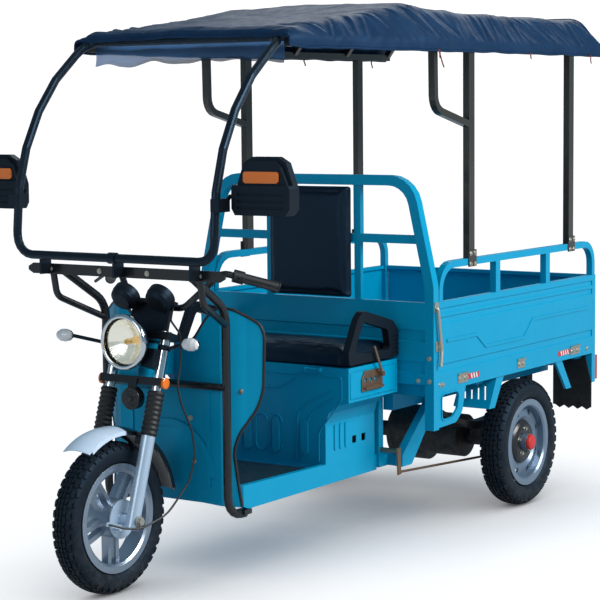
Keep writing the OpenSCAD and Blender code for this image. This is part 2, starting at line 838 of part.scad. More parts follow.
module gusset_opening(g, y0, y1) {
    x = hoop_back;
    side_plate(rounded([[x - 90, beam_z - 12 + g], [x - 148 - g, beam_z - 12 + g], [x - 132 - g,
        445 - g], [x - 98, 420 - g], [x - 25 + g, 418 - g],
        [x - 25 + g, beam_z - 12 + g], [x - 86, beam_z - 12 + g]], [0, 18, 20, 24, 18, 18, 0], 4), y0, y1);
}

// hinge leaves along the bed's side beams: middle x and half length
// place and half length of each leaf, set from the bed's ends and its middle
hinge_leaves = [[bed_front - 206, 35], [(bed_front + bed_rear) / 2 - 3, 30], [bed_rear + 188, 41]];
leaf_t = 3;
knuckle_r = 4;

module panel_fittings() {
    y = bed_hw + leaf_t;
    h = hoop_y + hoop_w / 2;
    color(steel)
    both_sides() {
        for (p = hinge_leaves) {
            box(p[0] - p[1], p[0] + p[1], bed_hw, y, bed_z - 34, bed_z - 4);
            rod([p[0] - p[1], bed_hw + knuckle_r + fit_gap, bed_z - 2], [p[0] + p[1],
                bed_hw + knuckle_r + fit_gap, bed_z - 2], knuckle_r);
        }
        // long latch on the hoop's post
        box(hoop_x - 12, hoop_x + 14, h, h + 4, panel_top - 34, panel_top + 2);
        tube(rounded([[hoop_x + 6, h + 3, panel_top - 17], [hoop_x + 6, h + 11, panel_top - 17],
            [hoop_x - 14, h + 12, 690],
            [hoop_x - 18, h + 12, 668], [hoop_x - 6, h + 15, 612]], [0, 8, 30, 20, 0], 3), 6, 10);
        box(hoop_x - 17, hoop_x + 8, h, h + 4, 664, 700);
        box(hoop_x - 17, hoop_x - 8, h + 3, h + 10, 676, 688);
    }
}

module mudflaps() {
    color(rubber)
    both_sides()
        front_plate([[330, beam_z - 5], [bed_hw - 30, beam_z - 5], [bed_hw, 400], [bed_hw, 300], [480,
            288], [460, 300], [440, 288], [420, 300], [400, 288],
            [380, 300], [360, 288], [340, 300], [330, 300]], bed_rear + rear_post_w,
                bed_rear + rear_post_w + 5);
    color(rubber)
    both_sides()
        box(bed_rear + rear_post_w, bed_rear + rear_post_w + 5, 345, 385, beam_z - 5, beam_z);
}

module tail_lamps() {
    color([0.75, 0.1, 0.08])
    both_sides()
        box(bed_rear - 22, bed_rear, bed_hw - 29, bed_hw - 1, 410, beam_z - 12);
}

gate_hw = bed_hw - rear_post_w - 5;
gate_gap = 6;

module tailgate() {
    color(teal)
    difference() {
        union() {
            translate([bed_rear + panel_t, 0, bed_z + gate_gap])
                rotate([90, 0, 0])
                    translate([0, 0, -gate_hw])
                        linear_extrude(height = 2 * gate_hw)
                            mirror([1, 0])
                                panel_section(panel_h - gate_gap, panel_t);
            for (y = [-300, 300]) {
                translate([hinge_x, y - 26, hinge_z])
                    y_turn()
                        cylinder(r = 9, h = 52);
                box(bed_rear - 5, bed_rear + 3, y - 26, y + 26, hinge_z, bed_z + gate_gap + 14);
            }
        }
        for (y = [-300, 300])
            translate([hinge_x, y - 60, hinge_z])
                y_turn()
                    cylinder(r = hinge_r + 0.06, h = 120);
    }
}

cushion_t = 68;
cushion_hw = seat_hw - 18;
pad_gap = 0.3;
seat_pin_r = 4;
seat_pin_x = seat_front + 9;
seat_pin_z = seat_z - 8;

module seat_cushion() {
    x0 = seat_rear + 4;
    x1 = seat_front - 2;
    z0 = seat_z + pad_gap;
    color(black) {
        side_plate([[x0, z0], [x1, z0], [x1, z0 + cushion_t - 22], [x1 - 8, z0 + cushion_t - 8],
            [x1 - 26, z0 + cushion_t], [x0 + 26, z0 + cushion_t],
            [x0 + 6, z0 + cushion_t - 10], [x0, z0 + cushion_t - 24]], -cushion_hw, cushion_hw);
        for (y = [-220, 220])
            difference() {
                union() {
                    translate([seat_pin_x, y - 20, seat_pin_z])
                        y_turn()
                            cylinder(r = 7, h = 40);
                    box(seat_pin_x - 4, seat_pin_x + 6, y - 20, y + 20, seat_pin_z, z0 + 14);
                    box(x1 - 4, seat_pin_x + 6, y - 20, y + 20, z0 + 6, z0 + 14);
                }
                translate([seat_pin_x, y - 60, seat_pin_z])
                    y_turn()
                        cylinder(r = seat_pin_r + 0.05, h = 120);
            }
    }
}

arm_w = 26;
arm_ribs = 5;

module armrests() {
    z0 = seat_z + pad_gap;
    x0 = seat_rear + 4;
    x1 = seat_front - 2;
    color(black)
    both_sides()
        difference() {
            side_plate(rounded([[x1 - 60, z0 + 10], [x1 + 8, z0 + 10], [x1 + 14, z0 + 50], [x1 - 50,
                z0 + 165], [x1 - 84, z0 + 190],
                [x0 + 34, z0 + 138], [x0, z0 + 100], [x0, z0 + 10], [x1 - 66, z0 + 10]], [0, 12, 26, 50,
                    34, 44, 34, 10, 0], 4),
                cushion_hw, cushion_hw + arm_w);
            side_plate(rounded([[x1 - 100, z0 + 40], [x1 - 30, z0 + 40], [x1 - 28, z0 + 60], [x1 - 84,
                z0 + 152], [x0 + 70, z0 + 110], [x0 + 56, z0 + 40],
                [x1 - 106, z0 + 40]], [0, 10, 16, 22, 18, 12, 0], 4), cushion_hw - 1,
                    cushion_hw + arm_w + 1);
            // ribs on the rear leg
            for (k = [0 : arm_ribs - 1])
                box(x0 + 10, x0 + 48, cushion_hw + arm_w - 2.5, cushion_hw + arm_w + 1, z0 + 22 + 14 * k,
                    z0 + 29 + 14 * k);
        }
}

// front brake cable, in the fork's frame (x, y, z): brake arm, round the leg's foot, back, up the fork
cable_r = 3.5;
cable_arm_y = 76;

module brake_cable() {
    p = [[94, cable_arm_y + fit_gap + cable_r, -27], [50, 104, -30], [0, leg_y + 33, -24], [-93, 150,
        37], [-150, 170, 150], [-154, 174, 235],
        [-126, 166, 310], [-72, leg_y + 48, 390], [-52, leg_y + 38, 440], [-54, leg_y + 34, 520], [-40,
            leg_y + 23, 604],
        [-18, leg_y - 8, 642], [-18, leg_y - 8, shelf_s - fit_gap]];
    color(rubber)
    fork_frame()
        tube(rounded(p, [0, 60, 120, 120, 90, 120, 120, 80, 80, 120, 30, 18, 0], 3), cable_r, 8);
}

lower_top = 268;
bar_s = 690;
bar_r = 11;
gaiter_top = 410;
clamp_low = 425;
clamp_t = 25;
clamp_high = 573;

module clamp_plate(z) {
    difference() {
        union() {
            translate([-fork_set - 28, -30, z])
                cube([56, 60, clamp_t]);
            translate([-26, -leg_y - 26, z])
                cube([52, 2 * leg_y + 52, clamp_t]);
        }
        for (s = [-1, 1])
            translate([0, s * leg_y, z - 1])
                cylinder(r = 16, h = clamp_t + 2);
    }
}

module fork_clamps() {
    color(black)
    fork_frame() {
        clamp_plate(clamp_low);
        clamp_plate(clamp_high);
        translate([-fork_set, 0, clamp_low])
            cylinder(r = stem_r, h = clamp_high + clamp_t - clamp_low);
        // handlebar posts
        for (y = [-40, 40])
            difference() {
                translate([-fork_set, y, clamp_high + clamp_t])
                    cylinder(r = 17, h = bar_s + 8 - clamp_high - clamp_t);
                translate([-fork_set, -80, bar_s])
                    y_turn()
                        cylinder(r = bar_r, h = 160);
            }
        translate([-fork_set - 20, -60, clamp_high + clamp_t])
            cube([40, 120, 6]);
    }
}

module fork_tubes() {
    color(bright)
    fork_frame()
        for (s = [-1, 1])
            translate([0, s * leg_y, gaiter_top - 6])
                cylinder(r = 16, h = clamp_high + clamp_t + 4 - gaiter_top + 6);
}

module fork_gaiters() {
    n = 9;
    l = gaiter_top - lower_top;
    color(rubber)
    fork_frame()
        for (s = [-1, 1])
            translate([0, s * leg_y, lower_top])
                difference() {
                    rotate_extrude()
                        polygon(concat([[0, 0]], [for (k = [0 : n - 1]) each [[24, l * k / n], [28,
                            l * (k + 0.5) / n]]], [[24, l], [0, l]]));
                    translate([0, 0, l - 6])
                        cylinder(r = 16, h = 7);
                }
}

axle_r = 8;
plate_r = 62;

module fork_lowers() {
    color(steel)
    fork_frame() {
        for (s = [-1, 1])
            translate([0, s * leg_y, -28])
                cylinder(r = 22, h = lower_top + 28);
        translate([0, -leg_y - 24, 0])
            y_turn()
                cylinder(r = axle_r, h = 2 * leg_y + 48);
        // brake plate on the left with its arm
        translate([0, 46, 0])
            y_turn()
                cylinder(r = plate_r, h = 6);
        translate([0, 50, 0])
            y_turn()
                cylinder(r = 20, h = leg_y - 50 - 10);
        translate([30, 50, -30])
            y_turn()
                cylinder(r = 9, h = 26);
        translate([30, 70, -34])
            cube([70, 6, 14]);
    }
}

fender_r = 284;
fender_hw = 52;
fender_t = 4;
fender_crown = 12;
fender_from = 56;
fender_to = 170;

// mudguard section across the wheel: (radius, y)
function fender_arc(r) = [for (k = [-4 : 4]) [r - fender_crown * k * k / 16, fender_hw * k / 4]];

module front_fender() {
    color(bright) {
        translate([wheelbase, 0, tyre_r])
            rotate([90, 0, 0]) {
                rotate([0, 0, fender_from])
                    rotate_extrude(angle = fender_to - fender_from, $fn = 96)
                        polygon(concat(fender_arc(fender_r + fender_t), flip(fender_arc(fender_r))));
                // rolled edges
                for (s = [-1, 1])
                    rotate([0, 0, fender_from + 3])
                        rotate_extrude(angle = fender_to - fender_from - 5, $fn = 96)
                            translate([fender_r - fender_crown - 9, s * (fender_hw + 0.5) - 1.5])
                                square([fender_t + 7.5, 3]);
            }
        // stays to the fork legs
        fork_frame()
            both_sides() {
                translate([-10, fender_hw, 240])
                    cube([20, 4, 33]);
                difference() {
                    translate([-10, fender_hw, 240])
                        cube([20, leg_y - 16 - fender_hw, 26]);
                    translate([0, leg_y, 230])
                        cylinder(r = 22, h = 60);
                }
            }
    }
}

lamp_x = wheelbase - 85;
lamp_z = 785;
lamp_r = 84;

module headlamp() {
    color(black) {
        translate([lamp_x, 0, lamp_z])
            rotate([0, -90, 0])
                rotate_extrude()
                    polygon([[lamp_r - 10, 0], [lamp_r, 0], [lamp_r, 16], [lamp_r - 8, 24], [lamp_r - 18,
                        40], [lamp_r - 42, 54], [0, 58], [0, 38],
                        [lamp_r - 46, 32], [lamp_r - 24, 18], [lamp_r - 10, 8]]);
        // ears to the fork tubes, running in to the bowl's flank
        fork_frame()
            both_sides()
                difference() {
                    translate([-20, 52, 480])
                        cube([66, leg_y - 52, 58]);
                    translate([0, leg_y, 470])
                        cylinder(r = 16, h = 90);
                }
    }
}

module headlamp_lens() {
    color([0.9, 0.94, 0.97])
    translate([lamp_x, 0, lamp_z])
        rotate([0, -90, 0])
            rotate_extrude()
                polygon([[0, -6], [lamp_r - 30, -4], [lamp_r - 10, 0], [lamp_r - 10, 8], [0, 8]]);
}

module horn() {
    color(black) {
        translate([wheelbase - 118, 18, 606])
            rotate([0, 90, 0])
                cylinder(r = 36, h = 26);
        fork_frame()
            translate([26, 3, clamp_low - 30])
                cube([6, 30, 48]);
    }
}

gauge_x = wheelbase - 178;
gauge_z = 915;
gauge_r = 46;
shelf_s = 690;

module gauges() {
    color(black) {
        for (y = [-70, 70])
            translate([gauge_x, y, gauge_z])
                rotate([0, -55, 0])
                    rotate_extrude()
                        polygon([[0, -23], [30, -23], [42, -12], [gauge_r, 4], [gauge_r, 23],
                            [gauge_r - 5, 23], [gauge_r - 7, 17], [0, 17]]);
        fork_frame() {
            translate([-24, -72, clamp_high + clamp_t])
                cube([12, 144, 104]);
            translate([-24, -100, shelf_s])
                cube([50, 200, 12]);
        }
    }
}

grip_in = [wheelbase - 371, 262, 975];
grip_end = [wheelbase - 444, 345, 944];
grip_r = 16.5;
lever_r = 5.5;
switch_l = 34;
switch_r = 21;

module handlebar() {
    c = [wheelbase - bar_s * sin(rake) - fork_set * cos(rake), 105,
        tyre_r + bar_s * cos(rake) - fork_set * sin(rake)];
    k = grip_in + (grip_in - grip_end) * 0.62;
    p = rounded([grip_end, k, c, [c[0], -c[1], c[2]], [k[0], -k[1], k[2]], [grip_end[0], -grip_end[1],
        grip_end[2]]],
        [0, 40, 40, 40, 40, 0], 4);
    color(black)
    tube(p, bar_r);
}

module grips() {
    d = unit(grip_end - grip_in);
    grip_l = norm(grip_end - grip_in);
    pivot = grip_in - d * switch_l / 2;
    color(rubber)
    both_sides() {
        // rubber sleeve and switch housing turned as one profile round the bar
        along(grip_in, grip_end)
            rotate_extrude()
                polygon([[bar_r + 0.05, -switch_l], [switch_r, -switch_l], [switch_r, 0], [grip_r, 4],
                    [grip_r, grip_l],
                    [grip_r + 2, grip_l + 1], [grip_r + 2, grip_l + 5], [0, grip_l + 5], [0, grip_l + 0.1],
                    [bar_r + 0.05, grip_l + 0.1]]);
        tube(rounded([pivot + [12, 10, -2], grip_in + [34, 14, -4], grip_end + [44, 30, -8]], [0, 20, 0],
            3), lever_r, 10);
    }
}

// turn signal: a turned drop on a stalk, clear in front and black behind
signal_x = lamp_x - 14;
signal_y = 224;
signal_z = lamp_z + 6;
signal_s = 541;

module signal_form() {
    translate([signal_x, signal_y, signal_z])
        y_turn()
            rotate_extrude()
                polygon([[0, 0], [9, 0], [17, 10], [21, 26], [20, 42], [13, 56], [0, 62]]);
}

module indicators() {
    root = [wheelbase - (signal_s + 8) * sin(rake), leg_y + 18, tyre_r + (signal_s + 8) * cos(rake)];
    color(black)
    both_sides() {
        intersection() {
            signal_form();
            box(signal_x - 40, signal_x, signal_y - 1, signal_y + 70, signal_z - 40, signal_z + 40);
        }
        rod(root, [signal_x - 6, signal_y + 6, signal_z], 6);
        fork_frame()
            translate([0, leg_y, signal_s])
                difference() {
                    cylinder(r = 21, h = 16);
                    translate([0, 0, -1])
                        cylinder(r = 16.05, h = 18);
                }
    }
}

module indicator_lenses() {
    color([0.95, 0.9, 0.8])
    both_sides()
        intersection() {
            signal_form();
            box(signal_x, signal_x + 40, signal_y - 1, signal_y + 70, signal_z - 40, signal_z + 40);
        }
}

module tyre(w, rim_r) {
    b = rim_r - 16;
    h = (tyre_r - b) / 2;
    rotate([-90, 0, 0])
        rotate_extrude($fn = 96)
            polygon([[b, -w * 0.36], [rim_r, -w * 0.36], [rim_r + 6, -w * 0.44], [b + h, -w / 2],
                [tyre_r - 22, -w * 0.47], [tyre_r - 9, -w * 0.38],
                [tyre_r - 2.5, -w * 0.22], [tyre_r, -w * 0.1], [tyre_r, w * 0.1], [tyre_r - 2.5,
                    w * 0.22], [tyre_r - 9, w * 0.38],
                [tyre_r - 22, w * 0.47], [b + h, w / 2], [rim_r + 6, w * 0.44], [rim_r, w * 0.36], [b,
                    w * 0.36]]);
}

module front_tyre() {
    color(rubber)
    translate([wheelbase, 0, tyre_r])
        tyre(front_tyre_w, front_rim_r);
}

module front_rim() {
    b = front_rim_r - 16;
    f = front_tyre_w * 0.36;
    color(steel)
    translate([wheelbase, 0, tyre_r])
        rotate([-90, 0, 0])
            difference() {
                union() {
                    rotate_extrude($fn = 96)
                        polygon([[b - 12, -f], [b - 4, -f - 6], [front_rim_r, -f - 6], [front_rim_r, -f],
                            [b, -f], [b, f],
                            [front_rim_r, f], [front_rim_r, f + 6], [b - 4, f + 6], [b - 12, f]]);
                    translate([0, 0, -44])
                        cylinder(r = plate_r, h = 87);
                    for (k = [0 : 4])
                        rotate([0, 0, 72 * k + 90])
                            for (s = [-1, 1])
                                translate([50, s * 19 - 8, -13])
                                    cube([b - 60, 16, 26]);
                }
                translate([0, 0, -60])
                    cylinder(r = axle_r + 0.05, h = 120);
            }
}

module rear_rim() {
    b = rear_rim_r - 16;
    f = rear_tyre_w * 0.36;
    rotate([-90, 0, 0])
        difference() {
            union() {
                rotate_extrude($fn = 96)
                    polygon([[b - 12, -f], [b - 6, -f - 6], [rear_rim_r, -f - 6], [rear_rim_r, -f], [b,
                        -f], [b, f],
                        [rear_rim_r, f], [rear_rim_r, f + 6], [b - 6, f + 6], [b - 12, f]]);
                // dished disc
                rotate_extrude($fn = 96)
                    polygon([[16.05, -8], [72, -8], [98, 12], [b - 8, 2], [b - 8, 10], [98, 21], [70, 0],
                        [16.05, 0]]);
                // hub and cap
                rotate_extrude()
                    polygon([[16.05, -40], [66, -40], [66, -8], [62, 14], [50, 22], [33, 22], [31, 44],
                        [0, 48], [0, 42], [16.05, 40]]);
            }
            for (k = [0 : 7])
                rotate([0, 0, 45 * k + 20])
                    translate([118, 0, 0])
                        cylinder(r = 12, h = 60, center = true);
        }
}

module rear_left_tyre() {
    color(rubber)
    translate([0, rear_wheel_y, tyre_r])
        tyre(rear_tyre_w, rear_rim_r);
}

module rear_left_rim() {
    color(steel)
    translate([0, rear_wheel_y, tyre_r])
        rear_rim();
}

module rear_right_tyre() {
    color(rubber)
    translate([0, -rear_wheel_y, tyre_r])
        tyre(rear_tyre_w, rear_rim_r);
}

module rear_right_rim() {
    color(steel)
    translate([0, -rear_wheel_y, tyre_r])
        mirror([0, 1, 0])
            rear_rim();
}

place() main_frame();
place() floor_pan();
place() front_shield();
place() seat_box();
place() battery_pack();
place() brake_controls();
place() front_guard();
place() windscreen_frame();
place() windscreen_glass();
place() mirror_shells();
place() mirror_glasses();
place() bed_frame();
place() bed_panels();
place() headboard_hoop();
place() backrest();
place() side_rails();
place() canopy_posts();
place() canopy_frame();
place() canopy_cover();
place() rear_axle();
place() leaf_springs();
place() wheel_guards();
place() mudflaps();
place() tail_lamps();
place() panel_fittings();
place() tailgate();
place() seat_cushion();
place() armrests();
place() brake_cable();
place() fork_clamps();
place() fork_tubes();
place() fork_gaiters();
place() fork_lowers();
place() front_fender();
place() headlamp();
place() headlamp_lens();
place() horn();
place() gauges();
place() handlebar();
place() grips();
place() indicators();
place() indicator_lenses();
place() front_tyre();
place() front_rim();
place() rear_left_tyre();
place() rear_left_rim();
place() rear_right_tyre();
place() rear_right_rim();
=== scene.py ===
import json
import math
import bpy
import bmesh
from mathutils import Matrix, Vector, noise


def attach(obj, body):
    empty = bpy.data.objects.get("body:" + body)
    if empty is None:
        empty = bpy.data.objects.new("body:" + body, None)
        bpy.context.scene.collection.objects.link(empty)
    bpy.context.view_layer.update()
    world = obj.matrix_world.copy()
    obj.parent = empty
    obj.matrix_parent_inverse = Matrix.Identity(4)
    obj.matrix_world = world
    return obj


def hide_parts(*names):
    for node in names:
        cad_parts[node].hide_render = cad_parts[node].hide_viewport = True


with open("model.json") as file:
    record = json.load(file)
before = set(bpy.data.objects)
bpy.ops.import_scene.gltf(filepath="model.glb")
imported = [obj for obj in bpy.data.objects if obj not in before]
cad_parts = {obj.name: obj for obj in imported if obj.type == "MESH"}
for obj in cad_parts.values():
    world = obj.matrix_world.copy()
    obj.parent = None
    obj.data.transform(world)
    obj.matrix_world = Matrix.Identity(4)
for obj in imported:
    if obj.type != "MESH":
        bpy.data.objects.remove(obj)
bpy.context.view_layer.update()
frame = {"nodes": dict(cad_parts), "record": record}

nodes = frame["nodes"]
scene = bpy.context.scene
rearAxleX = -0.7525  # the sizes below count x from the rear axle, the frame from its own middle
print("frame loaded:", len(nodes), "nodes")


def at(x, y, z):  # millimetres from the rear axle to frame metres
    return Vector((x / 1000 + rearAxleX, y / 1000, z / 1000))


# camera at the photograph's viewing angle
viewpoint = {
    "place": (5.7261, 3.8266, 1.5193),
    "right": (-0.55835, 0.82955, -0.00935),
    "up": (-0.08836, -0.04826, 0.99492),
    "lens": 115.53,
}


def setCamera(v):
    data = bpy.data.cameras.new("photoView")
    data.sensor_width = 36.0
    data.lens = v["lens"]
    data.clip_end = 60.0
    cam = bpy.data.objects.new("photoView", data)
    right = Vector(v["right"]).normalized()
    up = Vector(v["up"])
    up = (up - right * right.dot(up)).normalized()
    turn = Matrix((right, up, right.cross(up))).transposed().to_4x4()
    cam.matrix_world = Matrix.Translation(v["place"]) @ turn
    scene.collection.objects.link(cam)
    scene.camera = cam


setCamera(viewpoint)
print("camera set")

# white studio: a broad key from the vehicle's left, weak light on its front
studio = {
    "sky": 0.32, "skyColour": (0.5, 0.78, 1.0), "backdrop": 1.1,
    "floor": (0.93, 0.93, 0.935), "glowColour": (1, 0.945, 0.905), "floorGlow": 0.88, "bounce": 0.35,
    "reach": 40.0, "shade": 0.7,
    "lamps": {  # place, aim, size and power
        "keyLight": ((-0.6, 6.2, 4.6), (0, 0, 0.8), (5.0, 3.0), 640.0),
        "frontFill": ((6.5, -0.5, 2.6), (0, 0, 0.8), (3.0, 2.0), 60.0),
        "backRim": ((-5.0, -2.0, 4.2), (0, 0, 1.0), (4.0, 2.0), 80.0),
    },
}


def addArea(name, place, aim, size, power):
    data = bpy.data.lights.new(name, "AREA")
    data.shape = "RECTANGLE"
    data.size, data.size_y = size
    data.energy = power
    lamp = bpy.data.objects.new(name, data)
    lamp.location = place
    lamp.rotation_euler = (Vector(aim) - Vector(place)).to_track_quat("-Z", "Y").to_euler()
    scene.collection.objects.link(lamp)
    return lamp


def setStudio(s):
    world = bpy.data.worlds.new("studioWorld")
    scene.world = world
    world.use_nodes = True
    tree = world.node_tree
    sky = tree.nodes["Background"]
    sky.inputs["Color"].default_value = (*s["skyColour"], 1)
    sky.inputs["Strength"].default_value = s["sky"]
    seen = tree.nodes.new("ShaderNodeBackground")
    seen.inputs["Color"].default_value = (1, 1, 1, 1)
    seen.inputs["Strength"].default_value = s["backdrop"]
    path = tree.nodes.new("ShaderNodeLightPath")
    pick = tree.nodes.new("ShaderNodeMixShader")
    tree.links.new(path.outputs["Is Camera Ray"], pick.inputs[0])
    tree.links.new(sky.outputs[0], pick.inputs[1])
    tree.links.new(seen.outputs[0], pick.inputs[2])
    tree.links.new(pick.outputs[0], tree.nodes["World Output"].inputs["Surface"])
    lamps = [addArea(name, *row) for name, row in s["lamps"].items()]
    scene.view_settings.view_transform = "Standard"
    r = s["reach"]
    mesh = bpy.data.meshes.new("studioFloor")
    mesh.from_pydata([(-r, -r, 0), (r, -r, 0), (r, r, 0), (-r, r, 0)], [], [(0, 1, 2, 3)])
    floor = bpy.data.objects.new("studioFloor", mesh)
    scene.collection.objects.link(floor)
    mat = bpy.data.materials.new("paleFloor")
    mat.use_nodes = True
    shader = mat.node_tree.nodes["Principled BSDF"]
    shader.inputs["Base Color"].default_value = (*s["floor"], 1)
    shader.inputs["Roughness"].default_value = 0.8
    shader.inputs["Specular IOR Level"].default_value = 0.1
    shader.inputs["Emission Color"].default_value = (*s["glowColour"], 1)
    ray = mat.node_tree.nodes.new("ShaderNodeLightPath")
    glow = mat.node_tree.nodes.new("ShaderNodeMapRange")
    glow.inputs["To Min"].default_value = s["bounce"]
    glow.inputs["To Max"].default_value = s["floorGlow"]
    mat.node_tree.links.new(ray.outputs["Is Camera Ray"], glow.inputs["Value"])
    near = mat.node_tree.nodes.new("ShaderNodeAmbientOcclusion")  # the soft shade under the vehicle
    near.samples = 8
    near.inputs["Distance"].default_value = s["shade"]
    shade = mat.node_tree.nodes.new("ShaderNodeMath")
    shade.operation = "MULTIPLY"
    mat.node_tree.links.new(near.outputs["AO"], shade.inputs[0])
    mat.node_tree.links.new(glow.outputs["Result"], shade.inputs[1])
    mat.node_tree.links.new(shade.outputs[0], shader.inputs["Emission Strength"])
    unlit = bpy.data.collections.new("lampsLeaveOut")
    unlit.objects.link(floor)
    unlit.collection_objects[0].light_linking.link_state = "EXCLUDE"
    for lamp in lamps:
        lamp.light_linking.receiver_collection = unlit
    mesh.materials.append(mat)


setStudio(studio)
print("studio set")


# surface effects that several finishes share
def newGroup(name, ins, outs):
    g = bpy.data.node_groups.new(name, "ShaderNodeTree")
    for n, v in ins:
        s = g.interface.new_socket(name=n, in_out="INPUT", socket_type="NodeSocketFloat")
        s.default_value = v
    for n in outs:
        g.interface.new_socket(name=n, in_out="OUTPUT", socket_type="NodeSocketFloat")
    return g, g.nodes.new("NodeGroupInput"), g.nodes.new("NodeGroupOutput")


def feed(tree, value, socket):
    if isinstance(value, (int, float)):
        socket.default_value = value
    else:
        tree.links.new(value, socket)


def mathNode(tree, op, a, b=0.0, clamp=False):
    n = tree.nodes.new("ShaderNodeMath")
    n.operation = op
    n.use_clamp = clamp
    feed(tree, a, n.inputs[0])
    feed(tree, b, n.inputs[1])
    return n.outputs[0]


def noiseNode(tree, coord, scale, detail=3.0, rough=0.5):
    n = tree.nodes.new("ShaderNodeTexNoise")
    tree.links.new(coord, n.inputs["Vector"])
    feed(tree, scale, n.inputs["Scale"])
    n.inputs["Detail"].default_value = detail
    n.inputs["Roughness"].default_value = rough
    return n.outputs["Fac"]


def rampTo(tree, value, low, high, toLow=0.0, toHigh=1.0):
    n = tree.nodes.new("ShaderNodeMapRange")
    n.clamp = True
    tree.links.new(value, n.inputs["Value"])
    n.inputs["From Min"].default_value = low
    n.inputs["From Max"].default_value = high
    n.inputs["To Min"].default_value = toLow
    n.inputs["To Max"].default_value = toHigh
    return n.outputs["Result"]


def objectCoord(tree):
    return tree.nodes.new("ShaderNodeTexCoord").outputs["Object"]


def buildMottle():  # slow colour drift, smears and fine orange peel
    g, i, o = newGroup("surfaceMottle", [("Scale", 6.0), ("Fine", 260.0)], ["Drift", "Smear", "Height"])
    co = objectCoord(g)
    g.links.new(noiseNode(g, co, i.outputs["Scale"], 4.0), o.inputs["Drift"])
    wide = mathNode(g, "MULTIPLY", i.outputs["Scale"], 4.7)
    g.links.new(rampTo(g, noiseNode(g, co, wide, 6.0, 0.62), 0.35, 0.75), o.inputs["Smear"])
    g.links.new(noiseNode(g, co, i.outputs["Fine"], 2.0), o.inputs["Height"])
    return g


def buildDust():  # road dust, thicker low down and on faces that look up
    g, i, o = newGroup("roadDust", [("Height", 0.55), ("Amount", 0.4)], ["Mask"])
    co = objectCoord(g)
    sep = g.nodes.new("ShaderNodeSeparateXYZ")
    g.links.new(co, sep.inputs[0])
    ratio = mathNode(g, "DIVIDE", sep.outputs["Z"], i.outputs["Height"])
    low = mathNode(g, "SUBTRACT", 1.0, ratio, True)
    nrm = g.nodes.new("ShaderNodeSeparateXYZ")
    g.links.new(g.nodes.new("ShaderNodeNewGeometry").outputs["Normal"], nrm.inputs[0])
    up = rampTo(g, nrm.outputs["Z"], 0.55, 1.0)
    base = mathNode(g, "ADD", low, mathNode(g, "MULTIPLY", up, 0.22), True)
    speck = rampTo(g, noiseNode(g, co, 34.0, 8.0, 0.7), 0.42, 0.72)
    mask = mathNode(g, "MULTIPLY", base, speck)
    g.links.new(mathNode(g, "MULTIPLY", mask, i.outputs["Amount"], True), o.inputs["Mask"])
    return g


def buildWeave():  # coated canvas threads
    g, i, o = newGroup("canvasWeave", [("Pitch", 420.0)], ["Drift", "Smear", "Height"])
    co = objectCoord(g)
    threads = []
    for axis in ("X", "Y"):
        w = g.nodes.new("ShaderNodeTexWave")
        w.bands_direction = axis
        g.links.new(co, w.inputs["Vector"])
        g.links.new(i.outputs["Pitch"], w.inputs["Scale"])
        w.inputs["Distortion"].default_value = 0.6
        threads.append(w.outputs["Fac"])
    g.links.new(mathNode(g, "MAXIMUM", *threads), o.inputs["Height"])
    g.links.new(rampTo(g, noiseNode(g, co, 9.0, 6.0, 0.6), 0.3, 0.75), o.inputs["Drift"])
    g.links.new(rampTo(g, noiseNode(g, co, 26.0, 6.0, 0.6), 0.3, 0.7), o.inputs["Smear"])
    return g


def buildGrain():  # pebbled vinyl and moulded plastic
    g, i, o = newGroup("pebbleGrain", [("Scale", 380.0)], ["Drift", "Smear", "Height"])
    co = objectCoord(g)
    v = g.nodes.new("ShaderNodeTexVoronoi")
    g.links.new(co, v.inputs["Vector"])
    g.links.new(i.outputs["Scale"], v.inputs["Scale"])
    soft = mathNode(g, "MULTIPLY", noiseNode(g, co, i.outputs["Scale"], 2.0), 0.5)
    g.links.new(mathNode(g, "ADD", v.outputs["Distance"], soft), o.inputs["Height"])
    g.links.new(noiseNode(g, co, 11.0, 4.0), o.inputs["Drift"])
    g.links.new(rampTo(g, noiseNode(g, co, 40.0, 5.0), 0.35, 0.7), o.inputs["Smear"])
    return g


groups = {"mottle": buildMottle(), "dust": buildDust(), "weave": buildWeave(), "grain": buildGrain()}
print("surface effects built")


def placeGroup(tree, key, **values):
    n = tree.nodes.new("ShaderNodeGroup")
    n.node_tree = groups[key]
    for k, v in values.items():
        n.inputs[k].default_value = v
    return n


def mixColour(tree, fac, a, b):
    n = tree.nodes.new("ShaderNodeMix")
    n.data_type = "RGBA"
    tree.links.new(fac, n.inputs[0])
    for k, v in ((6, a), (7, b)):
        if isinstance(v, tuple):
            n.inputs[k].default_value = (*v, 1)
        else:
            tree.links.new(v, n.inputs[k])
    return n.outputs[2]


plainFinish = {
    "rough": 0.4, "span": 0.12, "metal": 0.0, "coat": 0.0, "specular": 0.5, "surface": "mottle",
    "scale": 6.0, "fine": 260.0, "bump": 0.05, "depth": 0.0004, "dust": 0.2, "dustHeight": 0.5,
    "edge": 0.0012, "tint": (1.0, 1.0, 1.0), "glow": 0.0, "glowColour": (1.0, 0.86, 0.5),
}


